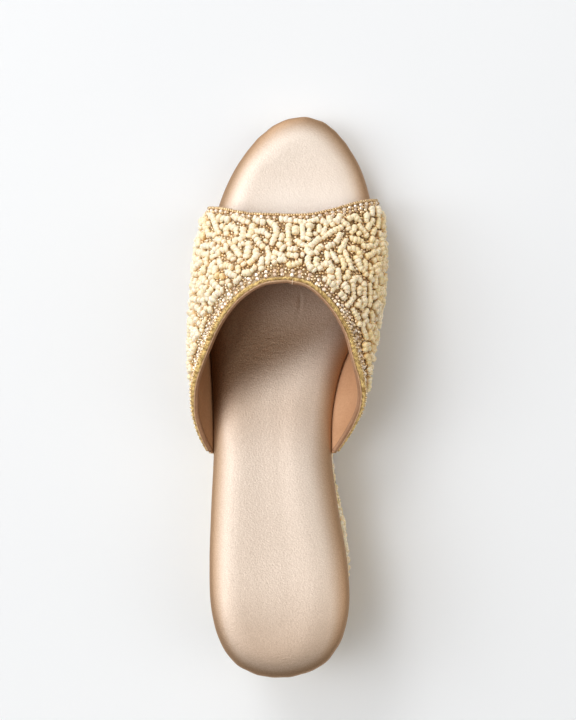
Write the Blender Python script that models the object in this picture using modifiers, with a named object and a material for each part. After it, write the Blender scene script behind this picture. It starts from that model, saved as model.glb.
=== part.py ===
"""Open-toe beaded wedge mule, left shoe, about EU size 38.

Five pieces: a moulded outsole, a full-length wedge, a padded footbed, a hollow lasted upper and the
cord sewn along its throat edge.

Frame: X towards the inner (medial) side, Y towards the toe, Z up, origin on the floor under the
middle of the shoe. A station is a distance in millimetres along the shoe from the back of the heel.
Shape functions work in millimetres; place() turns a station point into metres in the shoe's frame.
"""

import math
from collections import namedtuple

import bmesh
import bpy
from mathutils import Vector

# Driving sizes, millimetres
LENGTH = 245.0
BALL_WIDTH = 74.6
HEEL_LIFT = 40.5          # underside of the footbed above the floor, at the back of the heel
INSTEP = 46.0             # inside height of the upper over the footbed edge, at the throat
MM = 0.001
GAP = 0.3                 # clearance between neighbouring pieces

# Plan outline of the footbed: station in % of LENGTH, each side in % of BALL_WIDTH from the centre line
Plan = namedtuple("Plan", "station lateral medial")
PLAN = (
    Plan(0.0, -4.7, -4.7),
    Plan(2.5, -29.4, 22.0),
    Plan(6.0, -37.8, 31.0),
    Plan(12.0, -43.4, 36.4),
    Plan(20.0, -44.7, 35.6),
    Plan(30.0, -44.3, 29.8),
    Plan(40.0, -43.6, 25.8),
    Plan(48.0, -44.7, 26.8),
    Plan(55.0, -46.4, 32.2),
    Plan(61.0, -48.3, 40.8),
    Plan(68.0, -49.5, 48.2),
    Plan(76.0, -48.2, 50.8),
    Plan(84.0, -42.4, 49.0),
    Plan(90.0, -33.8, 43.6),
    Plan(95.0, -22.2, 34.4),
    Plan(98.5, -9.0, 23.4),
    Plan(100.0, 7.9, 7.9),
)

# Side profile of the footbed's underside: height in % of HEEL_LIFT
Profile = namedtuple("Profile", "station height")
PROFILE = (
    Profile(0.0, 100.0),
    Profile(18.0, 95.0),
    Profile(33.0, 75.5),
    Profile(49.0, 46.5),
    Profile(61.0, 27.5),
    Profile(69.5, 21.3),
    Profile(78.0, 21.5),
    Profile(88.0, 27.5),
    Profile(100.0, 39.0),
)

# Outsole: the floor line under it comes from these
ARCH_START = 60.0
ARCH_END = 150.0
ARCH_RISE = 1.5
SPRING_START = 192.0
TOE_SPRING = 7.0
SOLE_THICKNESS = 3.0
GROOVE_WIDTH = 1.6
GROOVE_DEPTH = 0.8
GROOVE_PITCH = 6.0
GROOVE_BORDER = 6.0       # uncut rim at each side
Tread = namedtuple("Tread", "start end")
TREADS = (Tread(16.0, 52.0), Tread(152.0, 188.0))

# Footbed section: each row steps in from the outline and up from the underside
FOOTBED_THICKNESS = 7.5
HEEL_CUP = 1.2            # how far the middle dips below the rolled edge
Roll = namedtuple("Roll", "inset rise")
FOOTBED_ROLL = (
    Roll(1.6, 0.0),
    Roll(0.3, 1.2),
    Roll(0.0, 3.0),
    Roll(0.6, 5.2),
    Roll(2.2, 6.9),
    Roll(4.6, FOOTBED_THICKNESS),
)

# Wedge: how far its top stands out from the footbed's outline, and how its wall leans in below
Fullness = namedtuple("Fullness", "station lateral medial")
WEDGE_FULLNESS = (
    Fullness(0.0, -2.4, -2.4),
    Fullness(12.0, -1.8, -2.4),
    Fullness(20.0, -1.6, -0.8),
    Fullness(26.0, -1.6, 0.3),
    Fullness(33.0, -1.4, -0.6),
    Fullness(40.0, -0.6, -0.6),
    Fullness(48.0, 0.4, 0.4),
    Fullness(80.0, 0.4, 0.4),
    Fullness(90.0, -1.8, -1.8),
    Fullness(100.0, -2.2, -2.2),
)
Wall = namedtuple("Wall", "drop lean")    # drop as a share of the wedge's height, lean in mm
WEDGE_WALL = (
    Wall(0.0, 1.2),
    Wall(0.06, 0.0),
    Wall(0.35, 0.1),
    Wall(0.7, 0.4),
    Wall(1.0, 0.9),
)
HEEL_UNDERCUT = 4.0       # extra lean at the back of the heel, gone by this station
UNDERCUT_END = 55.0
SOLE_PROUD = 1.0          # the outsole stands out this much from the foot of the wedge

# Upper: arched sections of the last, one row a station
Section = namedtuple("Section", "station lateral_full medial_full widest_rise crown crown_x")
SECTIONS = (
    Section(95.0, 5.4, 7.0, 16.0, 70.0, -3.0),
    Section(110.0, 5.9, 9.4, 17.0, 76.0, -2.0),
    Section(122.0, 4.4, 10.1, 17.0, 80.5, -1.0),
    Section(132.0, 4.2, 9.5, 17.0, 84.0, 0.0),
    Section(143.0, 3.5, 7.1, 17.0, 92.0, 0.0),
    Section(153.0, 2.7, 4.3, 16.5, 98.0, 0.5),
    Section(163.0, 1.9, 2.8, 15.5, 101.0, 0.5),
    Section(172.0, 1.3, 1.8, 14.5, 98.5, 1.0),
    Section(184.0, 0.7, 1.0, 13.0, 81.5, 1.5),
    Section(200.0, 0.3, 0.4, 12.0, 60.5, 2.5),
    Section(209.0, 0.2, 0.2, 11.5, 51.0, 3.0),
)
WIDEST = 0.35             # share of the way up the section where it is widest

# Where the throat and toe edges cross each line up the section, as stations
Edges = namedtuple("Edges", "way_up throat_lateral toe_lateral throat_medial toe_medial")
EDGES = (
    Edges(0.0, 96.2, 203.4, 96.4, 207.2),
    Edges(0.1, 102.6, 203.5, 102.2, 207.2),
    Edges(0.2, 110.2, 203.6, 109.0, 207.1),
    Edges(0.3, 116.8, 203.6, 116.2, 207.0),
    Edges(0.4, 123.5, 203.5, 123.4, 206.9),
    Edges(0.5, 131.3, 203.2, 131.2, 206.5),
    Edges(0.6, 141.6, 202.6, 141.2, 205.6),
    Edges(0.7, 154.0, 201.1, 152.2, 203.8),
    Edges(0.8, 163.2, 199.8, 161.2, 201.5),
    Edges(0.9, 168.7, 199.3, 168.0, 199.5),
    Edges(1.0, 170.0, 199.0, 170.0, 199.0),
)
UPPER_WALL = 1.8

# Lasting margin, turned in under the footbed: out from the outline, up from the underside, wall share
Margin = namedtuple("Margin", "out rise wall")
MARGIN = (
    Margin(-8.5, -GAP, 0.55),
    Margin(-1.36, -GAP, 0.55),
    Margin(0.0, 0.95, 0.8),
)
SEAM_OUT = 0.35           # the wall's inner face clears the footbed's widest line by this
SEAM_RISE = 3.0

CORD_RADIUS = 0.65
CORD_IN = 0.9             # cord's centre line, in from the throat edge

RING_POINTS = 64
ARCH_STEPS = 14           # steps up each half of the upper
FAN_STEPS = 11            # steps from throat edge to toe edge
CORD_STEPS = 38           # steps along each half of the throat


# ---------------------------------------------------------------- curves

def smooth_read(knots, values, at):
    """Height at one place of a smooth curve through the values (Hermite, slopes from neighbours)."""
    last = len(knots) - 1
    span = 0
    while span < last - 1 and at > knots[span + 1]:
        span += 1

    def slope(i):
        low = max(i - 1, 0)
        high = min(i + 1, last)
        before = (values[i] - values[low]) / max(knots[i] - knots[low], 1e-9)
        after = (values[high] - values[i]) / max(knots[high] - knots[i], 1e-9)
        if i == low:
            return after
        if i == high:
            return before
        step_back = knots[i] - knots[low]
        step_on = knots[high] - knots[i]
        return (before * step_on + after * step_back) / (step_back + step_on)

    width = knots[span + 1] - knots[span]
    u = min(max((at - knots[span]) / width, 0.0), 1.0)
    start = (1 + 2 * u) * (1 - u) ** 2 * values[span]
    end = u * u * (3 - 2 * u) * values[span + 1]
    lift = u * (1 - u) ** 2 * width * slope(span)
    settle = u * u * (u - 1) * width * slope(span + 1)
    return start + end + lift + settle


def column(table, name):
    return [getattr(row, name) for row in table]


def read(table, name, at, key="station"):
    """One named column of a table, read smoothly at a station or another key."""
    return smooth_read(column(table, key), column(table, name), at)


# ---------------------------------------------------------------- outline and heights

def turn_of(station):
    """Angle round the outline that goes with a station: 0 at the heel, pi at the toe."""
    share = min(max(station / LENGTH, 0.0), 1.0)
    return math.acos(1 - 2 * share)


def station_of(turn):
    return LENGTH * (1 - math.cos(turn)) / 2


def closed_outline():
    """Knots and values of the outline as one loop: negative turns lateral, positive medial."""
    lateral = [(-turn_of(row.station * LENGTH / 100), row.lateral) for row in PLAN[1:]]
    medial = [(turn_of(row.station * LENGTH / 100), row.medial) for row in PLAN]
    loop = sorted(lateral + medial)
    before = [(turn - 2 * math.pi, value) for turn, value in loop[-4:-1]]
    after = [(turn + 2 * math.pi, value) for turn, value in loop[1:4]]
    whole = before + loop + after
    return [turn for turn, _ in whole], [value * BALL_WIDTH / 100 for _, value in whole]


LOOP_TURNS, LOOP_X = closed_outline()


def outline_point(turn):
    """Plan point of the footbed outline (x, station) at an angle round it."""
    turn = (turn + math.pi) % (2 * math.pi) - math.pi
    return Vector((smooth_read(LOOP_TURNS, LOOP_X, turn), station_of(turn)))


def outward(turn):
    """Unit plan normal of the outline, pointing away from the foot."""
    step = 0.01
    run = outline_point(turn + step) - outline_point(turn - step)
    return Vector((run.y, -run.x)).normalized()


def offset_point(turn, out):
    return outline_point(turn) + outward(turn) * out


def underside(station):
    """Height of the footbed's underside."""
    share = min(max(station / LENGTH, 0.0), 1.0) * 100
    return read(PROFILE, "height", share) * HEEL_LIFT / 100


def floor_line(station):
    """Height of the outsole's underside: flat at heel and ball, arched between, sprung at the toe."""
    arch = 0.0
    if ARCH_START < station < ARCH_END:
        arch = ARCH_RISE * math.sin(math.pi * (station - ARCH_START) / (ARCH_END - ARCH_START)) ** 2
    spring_run = max(station - SPRING_START, 0.0) / (LENGTH - SPRING_START)
    return arch + TOE_SPRING * spring_run ** 1.8


def place(point, height):
    """A plan point and a height in millimetres, as a place in the shoe's frame in metres."""
    return Vector((point.x, point.y - LENGTH / 2, height)) * MM


# ---------------------------------------------------------------- mesh helpers

def collection(name):
    made = bpy.data.collections.new(name)
    bpy.context.scene.collection.children.link(made)
    return made


def material(name, colour, roughness, metallic):
    made = bpy.data.materials.new(name)
    made.use_nodes = True
    shader = made.node_tree.nodes["Principled BSDF"]
    shader.inputs["Base Color"].default_value = (*colour, 1.0)
    shader.inputs["Roughness"].default_value = roughness
    shader.inputs["Metallic"].default_value = metallic
    return made


def skin_rows(bm, rows):
    """Faces between neighbouring rows of verts; a row of one vert is a tip."""
    for near, far in zip(rows, rows[1:]):
        for i in range(max(len(near), len(far)) - 1):
            corners = [
                near[min(i, len(near) - 1)],
                near[min(i + 1, len(near) - 1)],
                far[min(i + 1, len(far) - 1)],
                far[min(i, len(far) - 1)],
            ]
            bm.faces.new(list(dict.fromkeys(corners)))


def cap_rows(bm, ring, columns, dip):
    """Rows across a ring, from its lateral side to its medial side, sunk by dip in the middle."""
    half = len(ring) // 2
    rows = [[ring[0]]]
    for k in range(1, half):
        lateral = ring[-k]
        medial = ring[k]
        row = [lateral]
        for c in range(1, columns):
            share = c / columns
            sink = dip * MM * (1 - (2 * share - 1) ** 2) * math.sin(math.pi * k / half)
            row.append(bm.verts.new(lateral.co.lerp(medial.co, share) - Vector((0, 0, sink))))
        rows.append(row + [medial])
    return rows + [[ring[half]]]


def finish(bm, name, home, finish_material):
    """Turn the faces outwards and make the object."""
    bmesh.ops.recalc_face_normals(bm, faces=bm.faces)
    mesh = bpy.data.meshes.new(name)
    bm.to_mesh(mesh)
    bm.free()
    mesh.shade_smooth()
    mesh.set_sharp_from_angle(angle=math.radians(35))
    made = bpy.data.objects.new(name, mesh)
    home.objects.link(made)
    if finish_material:
        mesh.materials.append(finish_material)
    return made


def ring_loft(name, rings, home, finish_material, columns=2, dip=0.0):
    """A closed body from plan rings, listed bottom to top, capped at both ends."""
    bm = bmesh.new()
    loops = [[bm.verts.new(point) for point in ring] for ring in rings]
    skin_rows(bm, [loop + loop[:1] for loop in loops])
    skin_rows(bm, cap_rows(bm, loops[0], 2, 0.0))
    skin_rows(bm, cap_rows(bm, loops[-1], columns, dip))
    return finish(bm, name, home, finish_material)


def cut(body, cutter):
    """Take the cutter out of the body, and leave the cutter as a wire guide."""
    cutter.hide_render = True
    cutter.display_type = "WIRE"
    subtract = body.modifiers.new("cut_" + cutter.name, "BOOLEAN")
    subtract.operation = "DIFFERENCE"
    subtract.solver = "EXACT"
    subtract.object = cutter


def ring_turns():
    return [2 * math.pi * k / RING_POINTS for k in range(RING_POINTS)]


# ---------------------------------------------------------------- sole parts

def footbed_ring(roll):
    points = []
    for turn in ring_turns():
        plan = offset_point(turn, -roll.inset)
        points.append(place(plan, underside(plan.y) + roll.rise))
    return points


def wedge_top_out(turn):
    """How far the top of the wedge stands out from the footbed outline."""
    share = station_of(turn) / LENGTH * 100
    side = "medial" if math.sin(turn) >= 0 else "lateral"
    return read(WEDGE_FULLNESS, side, share)


def undercut(station):
    """Extra lean of the heel's back wall at the floor."""
    return HEEL_UNDERCUT * max(1 - station / UNDERCUT_END, 0.0) ** 2


def wedge_ring(wall):
    points = []
    for turn in ring_turns():
        station = station_of(turn)
        lean = wall.lean + undercut(station) * wall.drop
        plan = offset_point(turn, wedge_top_out(turn) - lean)
        top = underside(plan.y) - GAP
        foot = floor_line(plan.y) + SOLE_THICKNESS + GAP
        points.append(place(plan, top + (foot - top) * wall.drop))
    return points


def outsole_ring(rise, inset):
    points = []
    for turn in ring_turns():
        foot = WEDGE_WALL[-1].lean + undercut(station_of(turn)) - SOLE_PROUD
        plan = offset_point(turn, wedge_top_out(turn) - foot - inset)
        points.append(place(plan, floor_line(plan.y) + rise))
    return points


def tread_cutter(tread, name, home):
    """Bars across the sole, a row of grooves repeated along one tread."""
    count = int((tread.end - tread.start) / GROOVE_PITCH) + 1
    bm = bmesh.new()
    for k in range(count):
        station = tread.start + k * GROOVE_PITCH
        sides = [outline_point(side * turn_of(station)).x for side in (-1, 1)]
        width = sides[1] - sides[0] - 2 * GROOVE_BORDER
        middle = Vector((sum(sides) / 2, station))
        made = bmesh.ops.create_cube(bm, size=1.0)["verts"]
        size = Vector((width, GROOVE_WIDTH, 2 * GROOVE_DEPTH)) * MM
        bmesh.ops.scale(bm, verts=made, vec=size)
        bmesh.ops.translate(bm, verts=made, vec=place(middle, 0.0))
    return finish(bm, name, home, None)


def margin_cutter(side, name, home):
    """The step in the wedge that holds the upper's turned-in margin on one side."""
    toe = EDGES[0].toe_medial if side > 0 else EDGES[0].toe_lateral
    start = EDGES[0].throat_lateral - 2.0
    end = toe + 2.0
    steps = 16
    step_in = MARGIN[0].out - GAP
    floor = -2 * GAP - UPPER_WALL * MARGIN[0].wall
    corners = ((step_in, floor), (step_in, 3.0), (6.0, 3.0), (6.0, floor))
    bm = bmesh.new()
    rows = []
    for k in range(steps + 1):
        turn = side * turn_of(start + (end - start) * k / steps)
        row = []
        for out, rise in corners:
            plan = offset_point(turn, out)
            row.append(bm.verts.new(place(plan, underside(plan.y) + rise)))
        rows.append(row)
    skin_rows(bm, [row + row[:1] for row in rows])
    bm.faces.new(rows[0])
    bm.faces.new(rows[-1])
    return finish(bm, name, home, None)


# ---------------------------------------------------------------- upper

def edge_stations(side, way_up):
    """Stations of the throat edge and the toe edge at one height up the section."""
    suffix = "medial" if side > 0 else "lateral"
    throat = read(EDGES, "throat_" + suffix, way_up, "way_up")
    toe = read(EDGES, "toe_" + suffix, way_up, "way_up")
    return throat, toe


def section_point(side, way_up, station):
    """Inner face of the upper: out from the footbed edge to its widest, then over an elliptic arch."""
    turn = side * turn_of(station)
    full = read(SECTIONS, "medial_full" if side > 0 else "lateral_full", station)
    widest_rise = read(SECTIONS, "widest_rise", station)
    crown_rise = read(SECTIONS, "crown", station) * INSTEP / 100
    seam = underside(station) + SEAM_RISE
    if way_up < WIDEST:
        share = way_up / WIDEST
        plan = offset_point(turn, SEAM_OUT + full * (1 - (1 - share) ** 2))
        return place(plan, seam + widest_rise * share)
    bend = (way_up - WIDEST) / (1 - WIDEST) * math.pi / 2
    crown = Vector((read(SECTIONS, "crown_x", station), station))
    wide = offset_point(turn, SEAM_OUT + full)
    height = widest_rise + (crown_rise - widest_rise) * math.sin(bend)
    return place(crown.lerp(wide, math.cos(bend)), seam + height)


def upper_point(side, way_up, share):
    """Inner face of the upper, share 0 at the throat edge and 1 at the toe edge."""
    throat, toe = edge_stations(side, way_up)
    return section_point(side, way_up, throat + (toe - throat) * share)


def margin_point(side, margin, share):
    throat, toe = edge_stations(side, 0.0)
    station = throat + (toe - throat) * share
    plan = offset_point(side * turn_of(station), margin.out)
    return place(plan, underside(plan.y) + margin.rise)


def upper_columns():
    """Columns of the upper from the lateral margin over the crown to the medial margin."""
    columns = []
    for side in (-1, 1):
        half = [(margin.wall, lambda share, s=side, m=margin: margin_point(s, m, share))
                for margin in MARGIN]
        for k in range(ARCH_STEPS + (side < 0)):
            way_up = k / ARCH_STEPS
            half.append((1.0, lambda share, s=side, w=way_up: upper_point(s, w, share)))
        columns += half if side < 0 else half[::-1]
    return columns


def build_upper(home, finish_material):
    """Open inner face, thickened outwards; the margin is skived thinner than the wall."""
    columns = upper_columns()
    bm = bmesh.new()
    rows = []
    for k in range(FAN_STEPS + 1):
        rows.append([bm.verts.new(spot(k / FAN_STEPS)) for _, spot in columns])
    skin_rows(bm, rows)
    bmesh.ops.recalc_face_normals(bm, faces=bm.faces)
    bm.faces.ensure_lookup_table()
    crown_face = max(bm.faces, key=lambda face: face.calc_center_median().z)
    if crown_face.normal.z < 0:
        bmesh.ops.reverse_faces(bm, faces=bm.faces)
    mesh = bpy.data.meshes.new("upper")
    bm.to_mesh(mesh)
    bm.free()
    mesh.shade_smooth()
    mesh.materials.append(finish_material)
    made = bpy.data.objects.new("upper", mesh)
    home.objects.link(made)
    thickness = made.vertex_groups.new(name="wall_share")
    for k in range(FAN_STEPS + 1):
        for c, (share, _) in enumerate(columns):
            thickness.add([k * len(columns) + c], share, "REPLACE")
    wall = made.modifiers.new("wall", "SOLIDIFY")
    wall.thickness = UPPER_WALL * MM
    wall.offset = 1.0
    wall.use_even_offset = True
    wall.vertex_group = thickness.name
    return made


def cord_point(side, way_up):
    """Centre of the throat cord: on the outer face, just inside the throat edge."""
    step = 0.01
    here = upper_point(side, way_up, 0.0)
    along = (upper_point(side, way_up, step) - here).normalized()
    across = (upper_point(side, way_up + step, 0.0) - here).normalized()
    normal = across.cross(along) * side
    if normal.dot(here - Vector((0, here.y, 0.03))) < 0:
        normal = -normal
    lift = UPPER_WALL + GAP + CORD_RADIUS
    return here + (along * CORD_IN + normal.normalized() * lift) * MM


def build_throat_cord(home, finish_material):
    points = [cord_point(-1, k / CORD_STEPS) for k in range(1, CORD_STEPS)]
    points += [cord_point(1, k / CORD_STEPS) for k in range(CORD_STEPS - 1, 0, -1)]
    curve = bpy.data.curves.new("throat_cord", "CURVE")
    curve.dimensions = "3D"
    curve.bevel_depth = CORD_RADIUS * MM
    curve.bevel_resolution = 2
    curve.use_fill_caps = True
    spline = curve.splines.new("POLY")
    spline.points.add(len(points) - 1)
    for spot, target in zip(points, spline.points):
        target.co = (*spot, 1.0)
    curve.materials.append(finish_material)
    made = bpy.data.objects.new("throat_cord", curve)
    home.objects.link(made)
    return made


# ---------------------------------------------------------------- assembly

def build():
    for item in list(bpy.data.objects):
        bpy.data.objects.remove(item, do_unlink=True)
    shoe = collection("mule")
    cutters = collection("cutters")
    sole_rubber = material("sole_rubber", (0.36, 0.24, 0.14), 0.65, 0.0)
    beaded_cloth = material("beaded_cloth", (0.86, 0.74, 0.50), 0.5, 0.0)
    metallic_leather = material("metallic_leather", (0.62, 0.47, 0.35), 0.38, 0.55)
    gold_cord = material("gold_cord", (0.66, 0.45, 0.16), 0.35, 0.9)

    outsole_rings = [outsole_ring(0.0, 0.5), outsole_ring(0.5, 0.0),
                     outsole_ring(SOLE_THICKNESS - 0.4, 0.0), outsole_ring(SOLE_THICKNESS, 0.4)]
    outsole = ring_loft("outsole", outsole_rings, shoe, sole_rubber)
    for tread, name in zip(TREADS, ("heel_grooves", "ball_grooves")):
        cut(outsole, tread_cutter(tread, name, cutters))

    wedge_rings = [wedge_ring(wall) for wall in reversed(WEDGE_WALL)]
    wedge = ring_loft("wedge", wedge_rings, shoe, beaded_cloth)
    for side, name in ((-1, "lateral_margin_step"), (1, "medial_margin_step")):
        cut(wedge, margin_cutter(side, name, cutters))

    footbed_rings = [footbed_ring(roll) for roll in FOOTBED_ROLL]
    ring_loft("footbed", footbed_rings, shoe, metallic_leather, columns=6, dip=HEEL_CUP)
    build_upper(shoe, beaded_cloth)
    build_throat_cord(shoe, gold_cord)


build()
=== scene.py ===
"""Looks of the open-toe beaded wedge mule, left shoe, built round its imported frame.

Frame: X towards the inner (medial) side, Y towards the toe, Z up, origin on the floor under the
middle of the shoe. A station is a distance in millimetres along the shoe from the back of the heel.
Shapes are worked out in millimetres; place() turns them into metres in the shoe's frame.
"""

import math
import random
from collections import namedtuple
from functools import lru_cache
from itertools import product

import bpy
import numpy as np
from mathutils import Euler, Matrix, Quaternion, Vector
from mathutils.bvhtree import BVHTree


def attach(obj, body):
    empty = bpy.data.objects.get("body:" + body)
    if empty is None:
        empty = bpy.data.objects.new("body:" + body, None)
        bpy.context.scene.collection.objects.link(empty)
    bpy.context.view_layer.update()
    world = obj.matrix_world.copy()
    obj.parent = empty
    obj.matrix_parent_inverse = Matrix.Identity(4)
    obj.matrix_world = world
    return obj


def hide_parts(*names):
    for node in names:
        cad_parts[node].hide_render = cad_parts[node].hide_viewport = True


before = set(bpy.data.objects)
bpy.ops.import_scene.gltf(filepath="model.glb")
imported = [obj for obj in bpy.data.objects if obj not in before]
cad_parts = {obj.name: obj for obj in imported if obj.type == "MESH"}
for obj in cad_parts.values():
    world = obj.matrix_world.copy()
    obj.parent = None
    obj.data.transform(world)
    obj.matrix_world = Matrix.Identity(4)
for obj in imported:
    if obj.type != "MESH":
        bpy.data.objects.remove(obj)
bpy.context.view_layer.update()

# ---------------------------------------------------------------- the last, millimetres
MM = 0.001
LENGTH = 245.0
BALL_WIDTH = 74.6
HEEL_LIFT = 40.5
INSTEP = 46.0
GAP = 0.3                 # between a piece and the one that carries it
UPPER_WALL = 1.8
LINING_WALL = 0.8
SEAM_OUT = 0.35           # the upper leaves the footbed's edge this far out
SEAM_RISE = 3.0           # and this far up
WIDEST = 0.35             # share of the way up its section where the upper is widest
SOLE_THICKNESS = 3.0
SOLE_PROUD = 1.0
HEEL_UNDERCUT = 4.0
UNDERCUT_END = 55.0
BEAD_RELIEF = 2.0         # the wedge's cover lies this far inside its beaded outline
ARCH_START, ARCH_END, ARCH_RISE = 60.0, 150.0, 1.5
SPRING_START, SPRING_RISE = 192.0, 7.0
SPINE_ENDS = (26.0, 222.0)              # ends of the middle line that closes the lofts
SAME_SPOT = 0.000004      # corners nearer than this, in metres, are one

Plan = namedtuple("Plan", "station lateral medial")          # % of length, % of ball width
PLAN = (
    Plan(0.0, -4.7, -4.7), Plan(2.5, -29.4, 22.0), Plan(6.0, -37.8, 31.0),
    Plan(12.0, -43.4, 36.4), Plan(20.0, -44.7, 35.6), Plan(30.0, -44.3, 29.8),
    Plan(40.0, -43.6, 25.8), Plan(48.0, -44.7, 26.8), Plan(55.0, -46.4, 32.2),
    Plan(61.0, -48.3, 40.8), Plan(68.0, -49.5, 48.2), Plan(76.0, -48.2, 50.8),
    Plan(84.0, -42.4, 49.0), Plan(90.0, -33.8, 43.6), Plan(95.0, -22.2, 34.4),
    Plan(98.5, -9.0, 23.4), Plan(100.0, 7.9, 7.9),
)
Profile = namedtuple("Profile", "station height")            # % of length, % of heel lift
PROFILE = (
    Profile(0.0, 100.0), Profile(18.0, 95.0), Profile(33.0, 75.5), Profile(49.0, 46.5),
    Profile(61.0, 27.5), Profile(69.5, 21.3), Profile(78.0, 21.5), Profile(88.0, 27.5),
    Profile(100.0, 39.0),
)
Fullness = namedtuple("Fullness", "station lateral medial")
WEDGE_FULLNESS = (
    Fullness(0.0, -2.4, -2.4), Fullness(12.0, -1.8, -2.4), Fullness(20.0, -1.6, -0.8),
    Fullness(26.0, -1.6, 0.3), Fullness(33.0, -1.4, -0.6), Fullness(40.0, -0.6, -0.6),
    Fullness(48.0, 0.4, 0.4), Fullness(80.0, 0.4, 0.4), Fullness(90.0, -1.8, -1.8),
    Fullness(100.0, -2.2, -2.2),
)
Wall = namedtuple("Wall", "drop lean")
WEDGE_WALL = (Wall(0.0, 1.2), Wall(0.06, 0.0), Wall(0.35, 0.1), Wall(0.7, 0.4), Wall(1.0, 0.9))
Section = namedtuple("Section", "station lateral_full medial_full widest_rise crown crown_x")
SECTIONS = (
    Section(95.0, 5.4, 7.0, 16.0, 70.0, -3.0), Section(110.0, 5.9, 9.4, 17.0, 76.0, -2.0),
    Section(122.0, 4.4, 10.1, 17.0, 80.5, -1.0), Section(132.0, 4.2, 9.5, 17.0, 84.0, 0.0),
    Section(143.0, 3.5, 7.1, 17.0, 92.0, 0.0), Section(153.0, 2.7, 4.3, 16.5, 98.0, 0.5),
    Section(163.0, 1.9, 2.8, 15.5, 101.0, 0.5), Section(172.0, 1.3, 1.8, 14.5, 98.5, 1.0),
    Section(184.0, 0.7, 1.0, 13.0, 81.5, 1.5), Section(200.0, 0.3, 0.4, 12.0, 60.5, 2.5),
    Section(209.0, 0.2, 0.2, 11.5, 51.0, 3.0),
)
Edges = namedtuple("Edges", "way_up throat_lateral toe_lateral throat_medial toe_medial")
EDGES = (
    Edges(0.0, 96.2, 203.4, 96.4, 207.2), Edges(0.1, 102.6, 203.5, 102.2, 207.2),
    Edges(0.2, 110.2, 203.6, 109.0, 207.1), Edges(0.3, 116.8, 203.6, 116.2, 207.0),
    Edges(0.4, 123.5, 203.5, 123.4, 206.9), Edges(0.5, 131.3, 203.2, 131.2, 206.5),
    Edges(0.6, 141.6, 202.6, 141.2, 205.6), Edges(0.7, 154.0, 201.1, 152.2, 203.8),
    Edges(0.8, 163.2, 199.8, 161.2, 201.5), Edges(0.9, 168.7, 199.3, 168.0, 199.5),
    Edges(1.0, 170.0, 199.0, 170.0, 199.0),
)
Margin = namedtuple("Margin", "out rise wall")
MARGIN = (Margin(-8.5, -GAP, 0.55), Margin(-1.36, -GAP, 0.55), Margin(0.0, 0.95, 0.8))

# ---------------------------------------------------------------- curves of the last


def clamped(value, low=0.0, high=1.0):
    return min(max(value, low), high)


def smooth_read(knots, values, at):
    """Height at one place of a smooth curve through the values (Hermite, slopes from neighbours)."""
    last = len(knots) - 1
    span = 0
    while span < last - 1 and at > knots[span + 1]:
        span += 1

    def slope(i):
        low = max(i - 1, 0)
        high = min(i + 1, last)
        before = (values[i] - values[low]) / max(knots[i] - knots[low], 1e-9)
        after = (values[high] - values[i]) / max(knots[high] - knots[i], 1e-9)
        if i == low:
            return after
        if i == high:
            return before
        step_back = knots[i] - knots[low]
        step_on = knots[high] - knots[i]
        return (before * step_on + after * step_back) / (step_back + step_on)

    width = knots[span + 1] - knots[span]
    u = clamped((at - knots[span]) / width)
    start = (1 + 2 * u) * (1 - u) ** 2 * values[span]
    end = u * u * (3 - 2 * u) * values[span + 1]
    lift = u * (1 - u) ** 2 * width * slope(span)
    settle = u * u * (u - 1) * width * slope(span + 1)
    return start + end + lift + settle


COLUMNS = {}


def read(table, name, at, key="station"):
    """One named column of a table, read smoothly at a station or another key."""
    tag = (id(table), name, key)
    if tag not in COLUMNS:
        COLUMNS[tag] = ([getattr(row, key) for row in table], [getattr(row, name) for row in table])
    return smooth_read(*COLUMNS[tag], at)


def turn_of(station):
    """Angle round the outline that goes with a station: 0 at the heel, pi at the toe."""
    return math.acos(1 - 2 * clamped(station / LENGTH))


def station_of(turn):
    return LENGTH * (1 - math.cos(turn)) / 2


def closed_outline():
    """Knots and values of the outline as one loop: negative turns lateral, positive medial."""
    lateral = [(-turn_of(row.station * LENGTH / 100), row.lateral) for row in PLAN[1:]]
    medial = [(turn_of(row.station * LENGTH / 100), row.medial) for row in PLAN]
    loop = sorted(lateral + medial)
    before = [(turn - 2 * math.pi, value) for turn, value in loop[-4:-1]]
    after = [(turn + 2 * math.pi, value) for turn, value in loop[1:4]]
    whole = before + loop + after
    return [turn for turn, _ in whole], [value * BALL_WIDTH / 100 for _, value in whole]


LOOP_TURNS, LOOP_X = closed_outline()


@lru_cache(maxsize=None)
def outline_point(turn):
    """Plan point of the footbed outline (x, station) at an angle round it."""
    wrapped = (turn + math.pi) % (2 * math.pi) - math.pi
    return Vector((smooth_read(LOOP_TURNS, LOOP_X, wrapped), station_of(wrapped)))


@lru_cache(maxsize=None)
def outward(turn):
    """Unit plan normal of the outline, pointing away from the foot."""
    run = outline_point(turn + 0.01) - outline_point(turn - 0.01)
    return Vector((run.y, -run.x)).normalized()


def offset_point(turn, out):
    return outline_point(turn) + outward(turn) * out


@lru_cache(maxsize=None)
def underside(station):
    """Height of the footbed's underside."""
    return read(PROFILE, "height", clamped(station / LENGTH) * 100) * HEEL_LIFT / 100


def floor_line(station):
    """Height of the outsole's underside: flat at heel and ball, arched between, sprung at the toe."""
    arch = 0.0
    if ARCH_START < station < ARCH_END:
        arch = ARCH_RISE * math.sin(math.pi * (station - ARCH_START) / (ARCH_END - ARCH_START)) ** 2
    spring = max(station - SPRING_START, 0.0) / (LENGTH - SPRING_START)
    return arch + SPRING_RISE * spring ** 1.8


def place(point, height):
    """A plan point and a height in millimetres, as a place in the shoe's frame in metres."""
    return Vector((point.x, point.y - LENGTH / 2, height)) * MM


def station_at(spot):
    return spot.y / MM + LENGTH / 2


def edge_stations(side, way_up):
    """Stations of the throat edge and the toe edge at one height up the section."""
    suffix = "medial" if side > 0 else "lateral"
    throat = read(EDGES, "throat_" + suffix, way_up, "way_up")
    return throat, read(EDGES, "toe_" + suffix, way_up, "way_up")


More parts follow.
